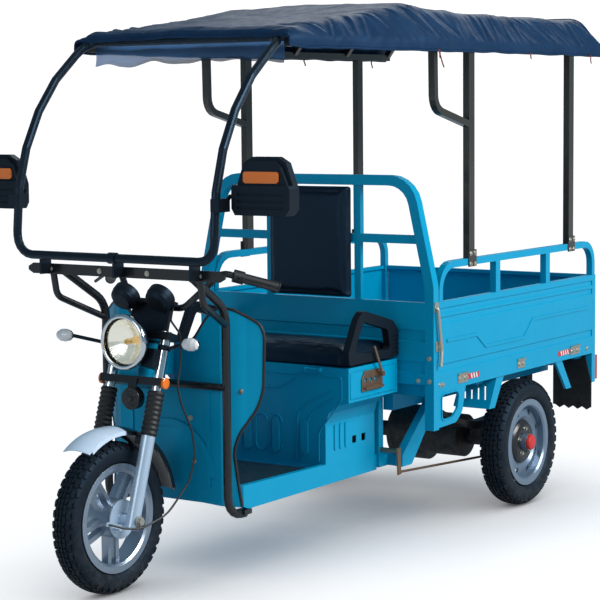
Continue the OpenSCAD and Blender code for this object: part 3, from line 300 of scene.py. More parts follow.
def makeFinish(name, colour, drift, **given):
    f = {**plainFinish, **given}
    mat = bpy.data.materials.new(name)
    mat.use_nodes = True
    tree = mat.node_tree
    sh = tree.nodes["Principled BSDF"]
    sh.inputs["Metallic"].default_value = f["metal"]
    sh.inputs["Coat Weight"].default_value = f["coat"]
    sh.inputs["Coat Roughness"].default_value = 0.08
    sh.inputs["Specular IOR Level"].default_value = f["specular"]
    sh.inputs["Specular Tint"].default_value = (*f["tint"], 1)
    # a glow is painted light: the finish emits light though it is no lamp
    if f["glow"] > 0:
        sh.inputs["Emission Color"].default_value = (*f["glowColour"], 1)
        sh.inputs["Emission Strength"].default_value = f["glow"]
    if f["surface"] == "mottle":
        s = placeGroup(tree, "mottle", Scale=f["scale"], Fine=f["fine"])
    elif f["surface"] == "weave":
        s = placeGroup(tree, "weave", Pitch=f["fine"])
    else:
        s = placeGroup(tree, "grain", Scale=f["fine"])
    base = mixColour(tree, s.outputs["Drift"], colour, drift)
    if f["dust"] > 0:
        d = placeGroup(tree, "dust", Amount=f["dust"], Height=f["dustHeight"])
        base = mixColour(tree, d.outputs["Mask"], base, (0.32, 0.29, 0.25))
    tree.links.new(base, sh.inputs["Base Color"])
    rough = rampTo(tree, s.outputs["Smear"], 0.0, 1.0, f["rough"], min(1.0, f["rough"] + f["span"]))
    tree.links.new(rough, sh.inputs["Roughness"])
    soft = tree.nodes.new("ShaderNodeBevel")
    soft.samples = 4
    soft.inputs["Radius"].default_value = f["edge"]
    bump = tree.nodes.new("ShaderNodeBump")
    bump.inputs["Strength"].default_value = f["bump"]
    bump.inputs["Distance"].default_value = f["depth"]
    tree.links.new(s.outputs["Height"], bump.inputs["Height"])
    tree.links.new(soft.outputs[0], bump.inputs["Normal"])
    tree.links.new(bump.outputs[0], sh.inputs["Normal"])
    return mat


def makeClear(name, colour, rough, ior, alpha):
    mat = bpy.data.materials.new(name)
    mat.use_nodes = True
    tree = mat.node_tree
    sh = tree.nodes["Principled BSDF"]
    sh.inputs["Base Color"].default_value = (*colour, 1)
    sh.inputs["IOR"].default_value = ior
    sh.inputs["Transmission Weight"].default_value = 1.0
    sh.inputs["Alpha"].default_value = alpha
    s = placeGroup(tree, "mottle", Scale=14.0, Fine=60.0)
    smear = rampTo(tree, s.outputs["Smear"], 0.0, 1.0, rough, rough + 0.04)
    tree.links.new(smear, sh.inputs["Roughness"])
    return mat


coolSheen, blueSheen = (0.35, 0.65, 1.0), (0.3, 0.6, 1.0)
solidLooks = {
    "tealPaint": dict(colour=(0.0, 0.3, 0.5), drift=(0.0, 0.265, 0.46), rough=0.3, coat=0.05,
        specular=0.25, dust=0.04, tint=coolSheen),
    "blackPaint": dict(colour=(0.004, 0.005, 0.007), drift=(0.008, 0.009, 0.011), rough=0.24, coat=0.15,
        dust=0.1),
    "postPaint": dict(colour=(0.016, 0.013, 0.008), drift=(0.026, 0.021, 0.012), rough=0.28, coat=0.4,
        dust=0.05),
    "blackPlastic": dict(colour=(0.004, 0.005, 0.007), drift=(0.008, 0.009, 0.011), surface="grain",
        specular=0.3, tint=coolSheen, fine=900.0, bump=0.1),
    "blackVinyl": dict(colour=(0.003, 0.007, 0.014), drift=(0.005, 0.01, 0.018), rough=0.36,
        specular=0.4, tint=coolSheen, surface="grain", fine=620.0, bump=0.3, dust=0.06),
    "canopyCloth": dict(colour=(0.003, 0.017, 0.05), drift=(0.008, 0.03, 0.075), rough=0.46, span=0.18,
        surface="weave", fine=320.0, bump=0.2, dust=0.0, specular=0.24, tint=blueSheen),
    "tyreRubber": dict(colour=(0.005, 0.007, 0.01), drift=(0.009, 0.011, 0.014), rough=0.5, span=0.2,
        specular=0.3, tint=coolSheen, fine=420.0, bump=0.2, dust=0.1, dustHeight=0.4),
    "blackRubber": dict(colour=(0.007, 0.008, 0.009), drift=(0.012, 0.013, 0.014), rough=0.42, span=0.2,
        fine=420.0, bump=0.15),
    "chromePlate": dict(colour=(0.8, 0.82, 0.84), drift=(0.72, 0.74, 0.77), rough=0.05, span=0.08,
        metal=1.0, dust=0.08),
    "alloyCast": dict(colour=(0.36, 0.43, 0.52), drift=(0.3, 0.36, 0.44), rough=0.26, metal=0.85,
        fine=520.0, bump=0.08, coat=0.3),
    "silverPaint": dict(colour=(0.2, 0.27, 0.36), drift=(0.16, 0.23, 0.31), rough=0.28, metal=0.6,
        coat=0.4),
    "zincPlate": dict(colour=(0.5, 0.5, 0.47), drift=(0.55, 0.5, 0.38), rough=0.3, span=0.2, metal=0.9,
        scale=30.0),
    "darkIron": dict(colour=(0.012, 0.012, 0.014), drift=(0.022, 0.021, 0.02), rough=0.5, fine=300.0,
        bump=0.2, dust=0.35),
    "redLens": dict(colour=(0.45, 0.012, 0.01), drift=(0.38, 0.01, 0.008), rough=0.12, coat=0.5),
    "redCap": dict(colour=(0.6, 0.02, 0.018), drift=(0.5, 0.016, 0.014), rough=0.35),
    "amberLens": dict(colour=(0.85, 0.19, 0.008), drift=(0.75, 0.15, 0.006), rough=0.14, coat=0.5,
        dust=0.03),
    "whiteTape": dict(colour=(0.72, 0.73, 0.74), drift=(0.62, 0.63, 0.65), rough=0.25, fine=900.0,
        bump=0.1),
    "redTape": dict(colour=(0.5, 0.03, 0.025), drift=(0.42, 0.024, 0.02), rough=0.25, fine=900.0,
        bump=0.1),
    "tieTape": dict(colour=(0.12, 0.012, 0.014), drift=(0.09, 0.01, 0.012), rough=0.7, surface="weave",
        fine=900.0),
    "dialFace": dict(colour=(0.02, 0.02, 0.022), drift=(0.03, 0.03, 0.032), rough=0.4),
    "dialMark": dict(colour=(0.8, 0.8, 0.78), drift=(0.75, 0.75, 0.72), rough=0.5),
    "clearLens": dict(colour=(0.72, 0.71, 0.7), drift=(0.6, 0.6, 0.62), rough=0.06, coat=0.8,
        scale=60.0, dust=0.03),
    "mirrorFace": dict(colour=(0.82, 0.84, 0.86), drift=(0.8, 0.82, 0.84), rough=0.02, span=0.02,
        metal=1.0, bump=0.0, dust=0.02),
    # painted light: the bulb's orange colour stands in for its warm glow
    "paintedWarmBulb": dict(colour=(0.95, 0.55, 0.12), drift=(0.9, 0.5, 0.1), rough=0.1, coat=0.5, dust=0.0),
    "matRubber": dict(colour=(0.006, 0.018, 0.024), drift=(0.009, 0.024, 0.03), rough=0.16, coat=0.5,
        dust=0.1),
    "forkSilver": dict(colour=(0.5, 0.62, 0.75), drift=(0.42, 0.53, 0.65), rough=0.25, span=0.12,
        metal=0.35, coat=0.3, dust=0.04),
    "fenderPaint": dict(colour=(0.62, 0.74, 0.86), drift=(0.54, 0.66, 0.8), rough=0.16, span=0.1,
        coat=0.5, dust=0.04),
    "loopPaint": dict(colour=(0.004, 0.006, 0.009), drift=(0.008, 0.01, 0.013), rough=0.26,
        specular=0.4, tint=coolSheen, bump=0.0, edge=0.0002, dust=0.0),
    # painted light: the reflector bowl emits a glow of its own, painted onto the chrome
    "paintedGlowBowl": dict(colour=(0.95, 0.94, 0.9), drift=(0.9, 0.88, 0.82), rough=0.1, metal=1.0, dust=0.0,
        glow=0.24),
    "yellowZinc": dict(colour=(0.42, 0.26, 0.16), drift=(0.25, 0.16, 0.11), rough=0.36, span=0.2,
        metal=1.0, scale=40.0, dust=0.1),
}
clearLooks = {
    "flapCloth": dict(colour=(0.1, 0.3, 0.72), rough=0.5, ior=1.1, alpha=0.62),
    "clearSheet": dict(colour=(1.0, 1.0, 1.0), rough=0.0, ior=1.02, alpha=0.015),
    "lampGlass": dict(colour=(0.97, 0.98, 0.99), rough=0.02, ior=1.2, alpha=0.35),
}
finish = {name: makeFinish(name, **look) for name, look in solidLooks.items()}
finish.update({name: makeClear(name, **look) for name, look in clearLooks.items()})
print("finishes made:", len(finish))

rearDarkening = {"from": 1.105, "to": 1.115, "colour": (0.006, 0.008, 0.011)}


def darkenBehind(mat, d):  # the mudguard's base colour turns dark behind a set x
    tree = mat.node_tree
    base = tree.nodes["Principled BSDF"].inputs["Base Color"]
    light = base.links[0].from_socket
    place = tree.nodes.new("ShaderNodeSeparateXYZ")
    tree.links.new(objectCoord(tree), place.inputs[0])
    ahead = rampTo(tree, place.outputs["X"], d["from"], d["to"])
    tree.links.new(mixColour(tree, ahead, d["colour"], light), base)


darkenBehind(finish["fenderPaint"], rearDarkening)

slotFinish = {
    "teal_paint": "tealPaint", "black_paint": "blackPaint", "black_plastic": "blackPlastic",
    "black_vinyl": "blackVinyl", "canopy_cloth": "canopyCloth", "clear_sheet": "clearSheet",
    "mirror_face": "mirrorFace", "tyre_rubber": "tyreRubber", "black_rubber": "blackRubber",
    "chrome": "chromePlate", "alloy": "alloyCast", "silver_paint": "silverPaint", "zinc": "zincPlate",
    "dark_iron": "darkIron", "red_lens": "redLens", "lamp_lens": "lampGlass", "clear_lens": "clearLens",
}
ownFinish = {"canopy_posts": "postPaint", "canopy_frame": "postPaint", "brake_controls": "yellowZinc",
             "fork_lowers": "forkSilver", "front_fender": "fenderPaint", "windscreen_frame": "loopPaint"}
for sub in frame["record"]["subparts"]:
    solid = nodes[sub["node"]]
    solid.data.materials.clear()
    solid.data.materials.append(finish[ownFinish.get(sub["node"], slotFinish[sub["material_slot"]])])
print("solids painted")


# pieces and node trees
def dress(piece, look, body, smooth=35.0):
    mesh = piece.data
    mesh.materials.clear()
    mesh.materials.append(finish[look])
    mesh.shade_smooth()
    mesh.set_sharp_from_angle(angle=math.radians(smooth))
    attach(piece, body)
    return piece


def newObject(name, verts, edges=(), faces=()):
    mesh = bpy.data.meshes.new(name)
    mesh.from_pydata([tuple(v) for v in verts], list(edges), [tuple(f) for f in faces])
    mesh.update()
    piece = bpy.data.objects.new(name, mesh)
    scene.collection.objects.link(piece)
    return piece


def newPiece(name, verts, faces, look, body, smooth=35.0):
    piece = newObject(name, verts, (), faces)
    tidy = bmesh.new()
    tidy.from_mesh(piece.data)
    bmesh.ops.recalc_face_normals(tidy, faces=tidy.faces)
    tidy.to_mesh(piece.data)
    tidy.free()
    return dress(piece, look, body, smooth)


def newTree(name, ins):
    tree = bpy.data.node_groups.new(name, "GeometryNodeTree")
    tree.interface.new_socket(name="Geometry", in_out="INPUT", socket_type="NodeSocketGeometry")
    for n, kind, value in ins:
        s = tree.interface.new_socket(name=n, in_out="INPUT", socket_type="NodeSocket" + kind)
        if value is not None:
            s.default_value = value
    tree.interface.new_socket(name="Geometry", in_out="OUTPUT", socket_type="NodeSocketGeometry")
    return tree, tree.nodes.new("NodeGroupInput"), tree.nodes.new("NodeGroupOutput")


def chain(tree, *steps):
    for (a, out), (b, inp) in zip(steps[::2], steps[1::2]):
        tree.links.new(a.outputs[out], b.inputs[inp])


def grow(piece, tree, **values):  # run a node tree on a piece and keep the result as a plain mesh
    mod = piece.modifiers.new("grow", "NODES")
    mod.node_group = tree
    sockets = [s for s in tree.interface.items_tree if s.item_type == "SOCKET" and s.in_out == "INPUT"]
    ids = {s.name: s.identifier for s in sockets}
    for k, v in values.items():
        mod[ids[k]] = v
    plain = bpy.data.meshes.new_from_object(piece.evaluated_get(bpy.context.evaluated_depsgraph_get()))
    piece.modifiers.remove(mod)
    piece.data = plain
    return piece


def ringTree():  # copies of one tread pitch round the wheel's axle
    t, i, o = newTree("treadRing", [("Count", "Int", 40), ("Centre", "Vector", None),
                                    ("Rubber", "Material", None)])
    line = t.nodes.new("GeometryNodeMeshLine")
    line.inputs["Offset"].default_value = (0, 0, 0)
    inst = t.nodes.new("GeometryNodeInstanceOnPoints")
    index = t.nodes.new("GeometryNodeInputIndex")
    step = t.nodes.new("ShaderNodeMath")
    step.operation = "DIVIDE"
    step.inputs[0].default_value = math.tau
    turn = t.nodes.new("ShaderNodeMath")
    turn.operation = "MULTIPLY"
    spin = t.nodes.new("ShaderNodeCombineXYZ")
    real = t.nodes.new("GeometryNodeRealizeInstances")
    move = t.nodes.new("GeometryNodeTransform")
    look = t.nodes.new("GeometryNodeSetMaterial")
    chain(t, (i, "Count"), (line, "Count"), (i, "Count"), (step, 1), (index, 0), (turn, 0))
    chain(t, (step, 0), (turn, 1), (turn, 0), (spin, "Y"), (line, 0), (inst, "Points"))
    chain(t, (i, "Geometry"), (inst, "Instance"), (spin, 0), (inst, "Rotation"), (inst, 0), (real, 0))
    chain(t, (real, 0), (move, 0), (i, "Centre"), (move, "Translation"), (move, 0), (look, 0))
    chain(t, (i, "Rubber"), (look, "Material"), (look, 0), (o, 0))
    return t


def boltTree():  # hexagon heads with washers, one on each point, along the point's aim
    t, i, o = newTree("boltHeads", [("Head", "Float", 0.006), ("Tall", "Float", 0.005),
                                    ("Washer", "Float", 0.009), ("Sides", "Int", 6),
                                    ("Steel", "Material", None)])
    aim = t.nodes.new("GeometryNodeInputNamedAttribute")
    aim.data_type = "FLOAT_VECTOR"
    aim.inputs["Name"].default_value = "aim"
    turn = t.nodes.new("FunctionNodeAlignRotationToVector")
    turn.axis = "Z"
    hexa = t.nodes.new("GeometryNodeMeshCylinder")
    ring = t.nodes.new("GeometryNodeMeshCylinder")
    ring.inputs["Vertices"].default_value = 16
    ring.inputs["Depth"].default_value = 0.003
    lift = t.nodes.new("GeometryNodeTransform")
    half = t.nodes.new("ShaderNodeMath")
    half.operation = "MULTIPLY"
    half.inputs[1].default_value = 0.5
    up = t.nodes.new("ShaderNodeCombineXYZ")
    both = t.nodes.new("GeometryNodeJoinGeometry")
    inst = t.nodes.new("GeometryNodeInstanceOnPoints")
    real = t.nodes.new("GeometryNodeRealizeInstances")
    look = t.nodes.new("GeometryNodeSetMaterial")
    chain(t, (i, "Sides"), (hexa, "Vertices"), (i, "Head"), (hexa, "Radius"), (i, "Tall"), (hexa, "Depth"))
    chain(t, (i, "Washer"), (ring, "Radius"), (i, "Tall"), (half, 0), (half, 0), (up, "Z"))
    chain(t, (hexa, "Mesh"), (lift, 0), (up, 0), (lift, "Translation"), (lift, 0), (both, 0))
    chain(t, (ring, "Mesh"), (both, 0), (both, 0), (inst, "Instance"), (i, "Geometry"), (inst, "Points"))
    chain(t, (aim, 0), (turn, "Vector"), (turn, 0), (inst, "Rotation"), (inst, 0), (real, 0))
    chain(t, (real, 0), (look, 0), (i, "Steel"), (look, "Material"), (look, 0), (o, 0))
    return t


def runTree():  # a round bead along a path
    t, i, o = newTree("beadRun", [("Radius", "Float", 0.004), ("Sides", "Int", 10),
                                  ("Look", "Material", None)])
    line = t.nodes.new("GeometryNodeMeshToCurve")
    ring = t.nodes.new("GeometryNodeCurvePrimitiveCircle")
    skin = t.nodes.new("GeometryNodeCurveToMesh")
    skin.inputs["Fill Caps"].default_value = True
    look = t.nodes.new("GeometryNodeSetMaterial")
    chain(t, (i, "Geometry"), (line, 0), (i, "Sides"), (ring, "Resolution"), (i, "Radius"), (ring, "Radius"))
    chain(t, (line, 0), (skin, 0), (ring, 0), (skin, 1), (skin, 0), (look, 0))
    chain(t, (i, "Look"), (look, "Material"), (look, 0), (o, 0))
    return t


def rowTree():  # copies of a shape in a straight row
    t, i, o = newTree("evenRow", [("Count", "Int", 10), ("Step", "Vector", None),
                                  ("Look", "Material", None)])
    line = t.nodes.new("GeometryNodeMeshLine")
    inst = t.nodes.new("GeometryNodeInstanceOnPoints")
    real = t.nodes.new("GeometryNodeRealizeInstances")
    look = t.nodes.new("GeometryNodeSetMaterial")
    chain(t, (i, "Count"), (line, "Count"), (i, "Step"), (line, "Offset"), (line, 0), (inst, 0))
    chain(t, (i, "Geometry"), (inst, "Instance"), (inst, 0), (real, 0), (real, 0), (look, 0))
    chain(t, (i, "Look"), (look, "Material"), (look, 0), (o, 0))
    return t


trees = {"ring": ringTree(), "bolts": boltTree(), "run": runTree(), "row": rowTree()}


def beadAlong(name, paths, radius, look, body, sides=10):
    verts = []
    edges = []
    for p in paths:
        first = len(verts)
        verts += p
        edges += [(first + k, first + k + 1) for k in range(len(p) - 1)]
    piece = newObject(name, verts, edges)
    grow(piece, trees["run"], Radius=radius, Sides=sides, Look=finish[look])
    return dress(piece, look, body, 50)


def boltsAt(name, rows, body, look="zincPlate", head=0.006, tall=0.005, washer=0.009, sides=6):
    piece = newObject(name, [p for p, n in rows])
    aim = piece.data.attributes.new("aim", "FLOAT_VECTOR", "POINT")
    for k, (p, n) in enumerate(rows):
        aim.data[k].vector = Vector(n).normalized()
    grow(piece, trees["bolts"], Head=head, Tall=tall, Washer=washer, Sides=sides, Steel=finish[look])
    return dress(piece, look, body, 30)


def softPath(points, radius, steps=6):  # round the corners of a path
    out = [points[0]]
    for a, b, c in zip(points, points[1:], points[2:]):
        r = min(radius, (a - b).length * 0.45, (c - b).length * 0.45)
        p = b + (a - b).normalized() * r
        q = b + (c - b).normalized() * r
        for k in range(steps + 1):
            t = k / steps
            out.append(p.lerp(b, t).lerp(b.lerp(q, t), t))
    return out + [points[-1]]


def revolve(profile, centre, axis, segments=48, closed=False):  # profile rows are (along, radius)
    axis = Vector(axis).normalized()
    side = axis.orthogonal().normalized()
    other = axis.cross(side)
    verts = []
    for a, r in profile:
        for k in range(segments):
            w = math.tau * k / segments
            verts.append(centre + axis * a + (side * math.cos(w) + other * math.sin(w)) * r)
    rows = len(profile) if closed else len(profile) - 1
    faces = []
    for j in range(rows):
        n = (j + 1) % len(profile)
        for k in range(segments):
            q = (k + 1) % segments
            faces.append((j * segments + k, j * segments + q, n * segments + q, n * segments + k))
    if not closed:
        faces.append(tuple(range(segments - 1, -1, -1)))
        faces.append(tuple(len(verts) - segments + k for k in range(segments)))
    return verts, faces


print("node trees built:", len(trees))

# tyres: a round carcass and a ring of tread blocks
# tread rows: across from, across to in mm, along from, along to in shares of a pitch, slant
frontTread = {
    "radius": 0.240, "width": 0.084, "rim": 0.168, "depth": 0.005, "count": 44,
    "rows": [(-5, 5, 0.02, 0.48, 0.5), (-5, 5, 0.52, 0.98, -0.5), (8, 18, 0.05, 0.5, -0.5),
             (8, 18, 0.58, 0.98, 0.5), (-18, -8, 0.05, 0.5, 0.5), (-18, -8, 0.58, 0.98, -0.5),
             (21, 33, 0.08, 0.86, 0.3), (-33, -21, 0.08, 0.86, -0.3), (36, 46, 0.2, 0.7, 0.0),
             (-46, -36, 0.2, 0.7, 0.0)],
}
rearTread = {
    "radius": 0.240, "width": 0.098, "rim": 0.160, "depth": 0.006, "count": 40,
    "rows": [(1.5, 13, 0.04, 0.5, 0.7), (1.5, 13, 0.56, 1.0, -0.7), (-13, -1.5, 0.04, 0.5, -0.7),
             (-13, -1.5, 0.56, 1.0, 0.7), (16, 29, 0.0, 0.44, -0.7), (16, 29, 0.52, 0.94, 0.7),
             (-29, -16, 0.0, 0.44, 0.7), (-29, -16, 0.52, 0.94, -0.7), (32, 47, 0.06, 0.84, 0.25),
             (-47, -32, 0.06, 0.84, -0.25)],
}


def tyreSection(t, a):  # a runs from the crown at 0 down both sides
    top = t["radius"] - t["depth"]
    mid = (top + t["rim"]) / 2
    s, c = math.sin(a), math.cos(a)
    across = t["width"] / 2 * math.copysign(abs(s) ** 0.84, s)
    out = mid + (top - mid) * math.copysign(abs(c) ** 0.72, c)
    bead = 0.0009 * max(0.0, math.cos((abs(a) - 1.75) * 26)) if 1.63 < abs(a) < 1.87 else 0.0
    return Vector((across + math.copysign(bead, s), out))


def treadPoint(t, table, across, along, lift):
    k = min(range(len(table)), key=lambda n: abs(table[n][0] - abs(across)))
    a = math.copysign(table[k][1], across)
    p = tyreSection(t, a)
    d = tyreSection(t, a + 0.02) - tyreSection(t, a - 0.02)
    n = Vector((-d.y, d.x)).normalized()
    n = n if n.y > 0 or n.x * across > 0 else -n
    p = p + n * lift
    w = along * math.tau / t["count"]
    return Vector((p.y * math.sin(w), p.x, p.y * math.cos(w)))


def treadPitch(t):
    table = [(0.0, 0.0)]
    for k in range(1, 160):
        a = k * 0.0125
        table.append((table[-1][0] + (tyreSection(t, a) - tyreSection(t, a - 0.0125)).length, a))
    verts, faces = [], []
    for v0, v1, u0, u1, slant in t["rows"]:
        first = len(verts)
        for level, inset in ((-0.001, 0.0), (t["depth"], 0.07)):
            for j in range(3):
                v = (v0 + (v1 - v0) * (inset + (1 - 2 * inset) * j / 2)) / 1000
                for i in range(3):
                    u = u0 + (u1 - u0) * (inset + (1 - 2 * inset) * i / 2) + slant * (j - 1) * 0.12
                    verts.append(treadPoint(t, table, v, u, level))
        for j in range(2):
            for i in range(2):
                q = first + 9 + j * 3 + i
                faces.append((q, q + 1, q + 4, q + 3))
        rim = [0, 1, 2, 5, 8, 7, 6, 3]
        for m, n in zip(rim, rim[1:] + rim[:1]):
            faces.append((first + m, first + n, first + n + 9, first + m + 9))
    return verts, faces


def makeTyre(name, t, centre, body, node):
    cuts = 40
    wide = math.radians(150)
    section = [tyreSection(t, -wide + 2 * wide * k / cuts) for k in range(cuts + 1)]
    verts, faces = revolve([(p.x, p.y) for p in section], centre, (0, 1, 0), 96, True)
    carcass = newObject(name, verts, (), faces)
    tread = newObject(name + "Tread", *[(p, (), f) for p, f in [treadPitch(t)]][0])
    grow(tread, trees["ring"], Count=t["count"], Centre=centre, Rubber=finish["tyreRubber"])
    whole = bmesh.new()
    whole.from_mesh(carcass.data)
    whole.from_mesh(tread.data)
    bmesh.ops.recalc_face_normals(whole, faces=whole.faces)
    whole.to_mesh(carcass.data)
    whole.free()
    bpy.data.objects.remove(tread)
    dress(carcass, "tyreRubber", body, 38)
    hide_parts(node)


axleZ = 240
makeTyre("frontRoadTyre", frontTread, at(1885, 0, axleZ), "front_wheel", "front_tyre")
makeTyre("rearLeftRoadTyre", rearTread, at(0, 458, axleZ), "rear_left_wheel", "rear_left_tyre")
makeTyre("rearRightRoadTyre", rearTread, at(0, -458, axleZ), "rear_right_wheel", "rear_right_tyre")
print("tyres made")

# canopy: one cloth over the bows, sagging between them, with creased flanks
# stations: x, edge y, shoulder y, shoulder z, edge z
canopy = {
    "stations": [(-618, 504, 404, 1853, 1706), (417, 504, 404, 1853, 1706), (694, 504, 394, 1871, 1704),
                 (1440, 446, 410, 1772, 1704), (1478, 438, 408, 1758, 1706), (1494, 434, 400, 1738, 1708)],
    "bows": [-589, -262, 117, 417, 694, 1478], "valance": 34, "crown": 6, "sag": 11, "crease": 6,
    "flap": {"x": 1452, "half": 384, "top": 1722, "low": 1660, "wave": 16, "bow": 5, "steps": 90},
    "flutter": 6, "along": 300, "across": 132, "thick": 0.0016,
    "ties": [(690, 506, 62, 0.5), (676, 504, 30, -0.2), (5, 506, 24, 0.05), (-508, 506, 34, 0.1),
             (690, -506, 46, 0.2), (5, -506, 30, 0.1), (-508, -506, 34, 0.0)],
}


def stationAt(c, x):
    rows = c["stations"]
    for a, b in zip(rows, rows[1:]):
        if x <= b[0]:
            t = (x - a[0]) / (b[0] - a[0])
            return [p + (q - p) * t for p, q in zip(a, b)]
    return list(rows[-1])


def canopyPoint(c, x, s):  # s from -1 to 1 across the cloth
    x, ey, sy, sz, ez = stationAt(c, x)
    turns = [(0, sz + c["crown"]), (sy, sz), (ey, ez + c["valance"]), (ey, ez)]
    turns = [Vector(turn) for turn in turns]
    pts = softPath(turns, 42, 5)
    lens = [0.0]
    for a, b in zip(pts, pts[1:]):
        lens.append(lens[-1] + (b - a).length)
    want = abs(s) * lens[-1]
    k = max(n for n in range(len(pts) - 1) if lens[n] <= want)
    t = (want - lens[k]) / max(1e-6, lens[k + 1] - lens[k])
    p = pts[k].lerp(pts[k + 1], min(1.0, t))
    return Vector((x, math.copysign(p.x, s), p.y))


def ridge(x, y, z):
    return max(0.0, 1.0 - abs(noise.noise(Vector((x, y, z)))) * 4.2) ** 2


def canopyLift(c, x, s):  # how far the cloth stands off its plain form, in mm
    bows = c["bows"]
    sag = 0.0
    for a, b in zip(bows, bows[1:]):
        if a <= x <= b:
            t = (x - a) / (b - a)
            sag = -c["sag"] * 4 * t * (1 - t) * min(1.0, (b - a) / 380)
    flank = max(0.0, min(1.0, (abs(s) - 0.62) / 0.12)) * max(0.0, min(1.0, (0.99 - abs(s)) / 0.08))
    top = max(0.0, 1.0 - abs(s) * 1.2)
    side = math.copysign(1, s)
    lean = x * 0.0105 + abs(s) * 2.6 * math.copysign(1, noise.noise(Vector((x * 0.002, side, 7))))
    fold = ridge(lean, abs(s) * 1.1, side * 3) * c["crease"] * flank
    fold -= ridge(lean + 5.3, abs(s) * 1.3, side * 5) * c["crease"] * 0.7 * flank
    drape = ridge(x * 0.0014 + s * 1.4, s * 1.3 - x * 0.0018, 2) * c["crease"] * 0.6
    drape -= ridge(x * 0.0019 - s * 1.6, s * 1.2 + x * 0.0012, 9) * c["crease"] * 0.4
    fine = noise.noise(Vector((x * 0.02, s * 9, 4))) * 0.5
    return sag * (0.6 + 0.4 * top) + fold + drape * (1 - flank) + fine


def tieRibbon(n, x, y, drop, lean):
    ribbon = []
    for k in range(9):
        t = k / 8
        px = x - lean * drop * t + 3 * math.sin(5 * t)
        py = y + math.copysign(2 * math.sin(4 * t), y)
        for w, d in ((-4, -0.7), (4, -0.7), (4, 0.7), (-4, 0.7)):
            ribbon.append(at(px + w, py + d, 1709 - drop * t))
    faces = [(3, 2, 1, 0), (32, 33, 34, 35)]
    for k in range(8):
        for a in range(4):
            b = (a + 1) % 4
            faces.append((4 * k + a, 4 * k + b, 4 * k + 4 + b, 4 * k + 4 + a))
    return newPiece("tieTape%d" % n, ribbon, faces, "tieTape", "chassis", 60)


def frontFlap(f):
    verts, faces = [], []
    n = f["steps"]
    for k in range(n + 1):
        y = -f["half"] + 2 * f["half"] * k / n
        low = f["low"] + f["wave"] * noise.noise(Vector((y * 0.011, 3.0, 0.5)))
        for t in range(5):
            bow = f["bow"] * math.sin(math.pi * t / 4) * (1 + noise.noise(Vector((y * 0.02, t, 1))))
            verts.append(at(f["x"] - bow, y, f["top"] + (low - f["top"]) * t / 4))
    for k in range(n):
        for t in range(4):
            q = 5 * k + t
            faces.append((q, q + 1, q + 6, q + 5))
    flap = newPiece("canopyFlap", verts, faces, "flapCloth", "chassis", 80)
    skin = flap.modifiers.new("cloth", "SOLIDIFY")
    skin.thickness = 0.001
    return flap


def makeCanopy(c):
    nx, ns = c["along"], c["across"]
    x0, x1 = c["stations"][0][0], c["stations"][-1][0]
    plain = []
    for i in range(nx + 1):
        x = x0 + (x1 - x0) * i / nx
        plain.append([canopyPoint(c, x, -1 + 2 * j / ns) for j in range(ns + 1)])
    verts, faces = [], []
    for i in range(nx + 1):
        for j in range(ns + 1):
            s = -1 + 2 * j / ns
            p = plain[i][j]
            d = plain[min(i + 1, nx)][j] - plain[max(i - 1, 0)][j]
            e = plain[i][min(j + 1, ns)] - plain[i][max(j - 1, 0)]
            n = d.cross(e).normalized()
            n = n if n.z > 0.2 or n.y * s > 0 else -n
            hang = max(0.0, (abs(s) - 0.93) / 0.07)
            q = p + n * canopyLift(c, p.x, s)
            q.y += math.copysign(c["flutter"] * hang * noise.noise(Vector((p.x * 0.012, s, 1))), s)
            q.z += 4 * hang * noise.noise(Vector((p.x * 0.009, s, 6)))
            verts.append(at(*q))
    row = ns + 1
    for i in range(nx):
        for j in range(ns):
            q = i * row + j
            faces.append((q, q + row, q + row + 1, q + 1))
    piece = newPiece("canopySheet", verts, faces, "canopyCloth", "chassis", 80)
    skin = piece.modifiers.new("cloth", "SOLIDIFY")
    skin.thickness = c["thick"]
    skin.offset = 0.0
    hem = [[verts[i * row + j] for i in range(nx + 1)] for j in (0, ns)]
    hem += [[verts[i * row + j] for j in range(ns + 1)] for i in (0, nx)]
    extras = [beadAlong("canopyHem", hem, 0.0042, "canopyCloth", "chassis", 8)]
    extras += [tieRibbon(n, *tie) for n, tie in enumerate(c["ties"])]
    extras.append(frontFlap(c["flap"]))
    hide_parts("canopy_cover")


makeCanopy(canopy)
print("canopy made")

# bench cushion and backrest: foam under coated cloth, swollen by a short cloth run
cushion = {
    "low": (740, -338, 636.5), "high": (1044, 338, 690), "round": 16, "cap": 0.010, "pressure": 4.0,
    "voxel": 0.007, "crown": 7, "fill": 0.7,
}
backPad = {
    "low": (725, -172, 840), "high": (756, 172, 1236), "round": 9, "cap": 0.006, "pressure": 3.0,
    "voxel": 0.006, "crown": 3, "fill": 0.8,
}


def padForm(name, p):
    form = bmesh.new()
    bmesh.ops.create_cube(form, size=1.0)
    lo, hi = p["low"], p["high"]
    for v in form.verts:
        v.co = Vector([lo[k] if v.co[k] < 0 else hi[k] for k in range(3)])
    bmesh.ops.bevel(form, geom=list(form.edges), offset=p["round"], segments=4, profile=0.5, affect="EDGES")
    for v in form.verts:
        v.co = at(*v.co)
    mesh = bpy.data.meshes.new(name)
    form.to_mesh(mesh)
    form.free()
    piece = bpy.data.objects.new(name, mesh)
    scene.collection.objects.link(piece)
    mod = piece.modifiers.new("even", "REMESH")
    mod.mode = "VOXEL"
    mod.voxel_size = p["voxel"]
    plain = bpy.data.meshes.new_from_object(piece.evaluated_get(bpy.context.evaluated_depsgraph_get()))
    piece.modifiers.clear()
    piece.data = plain
    return piece


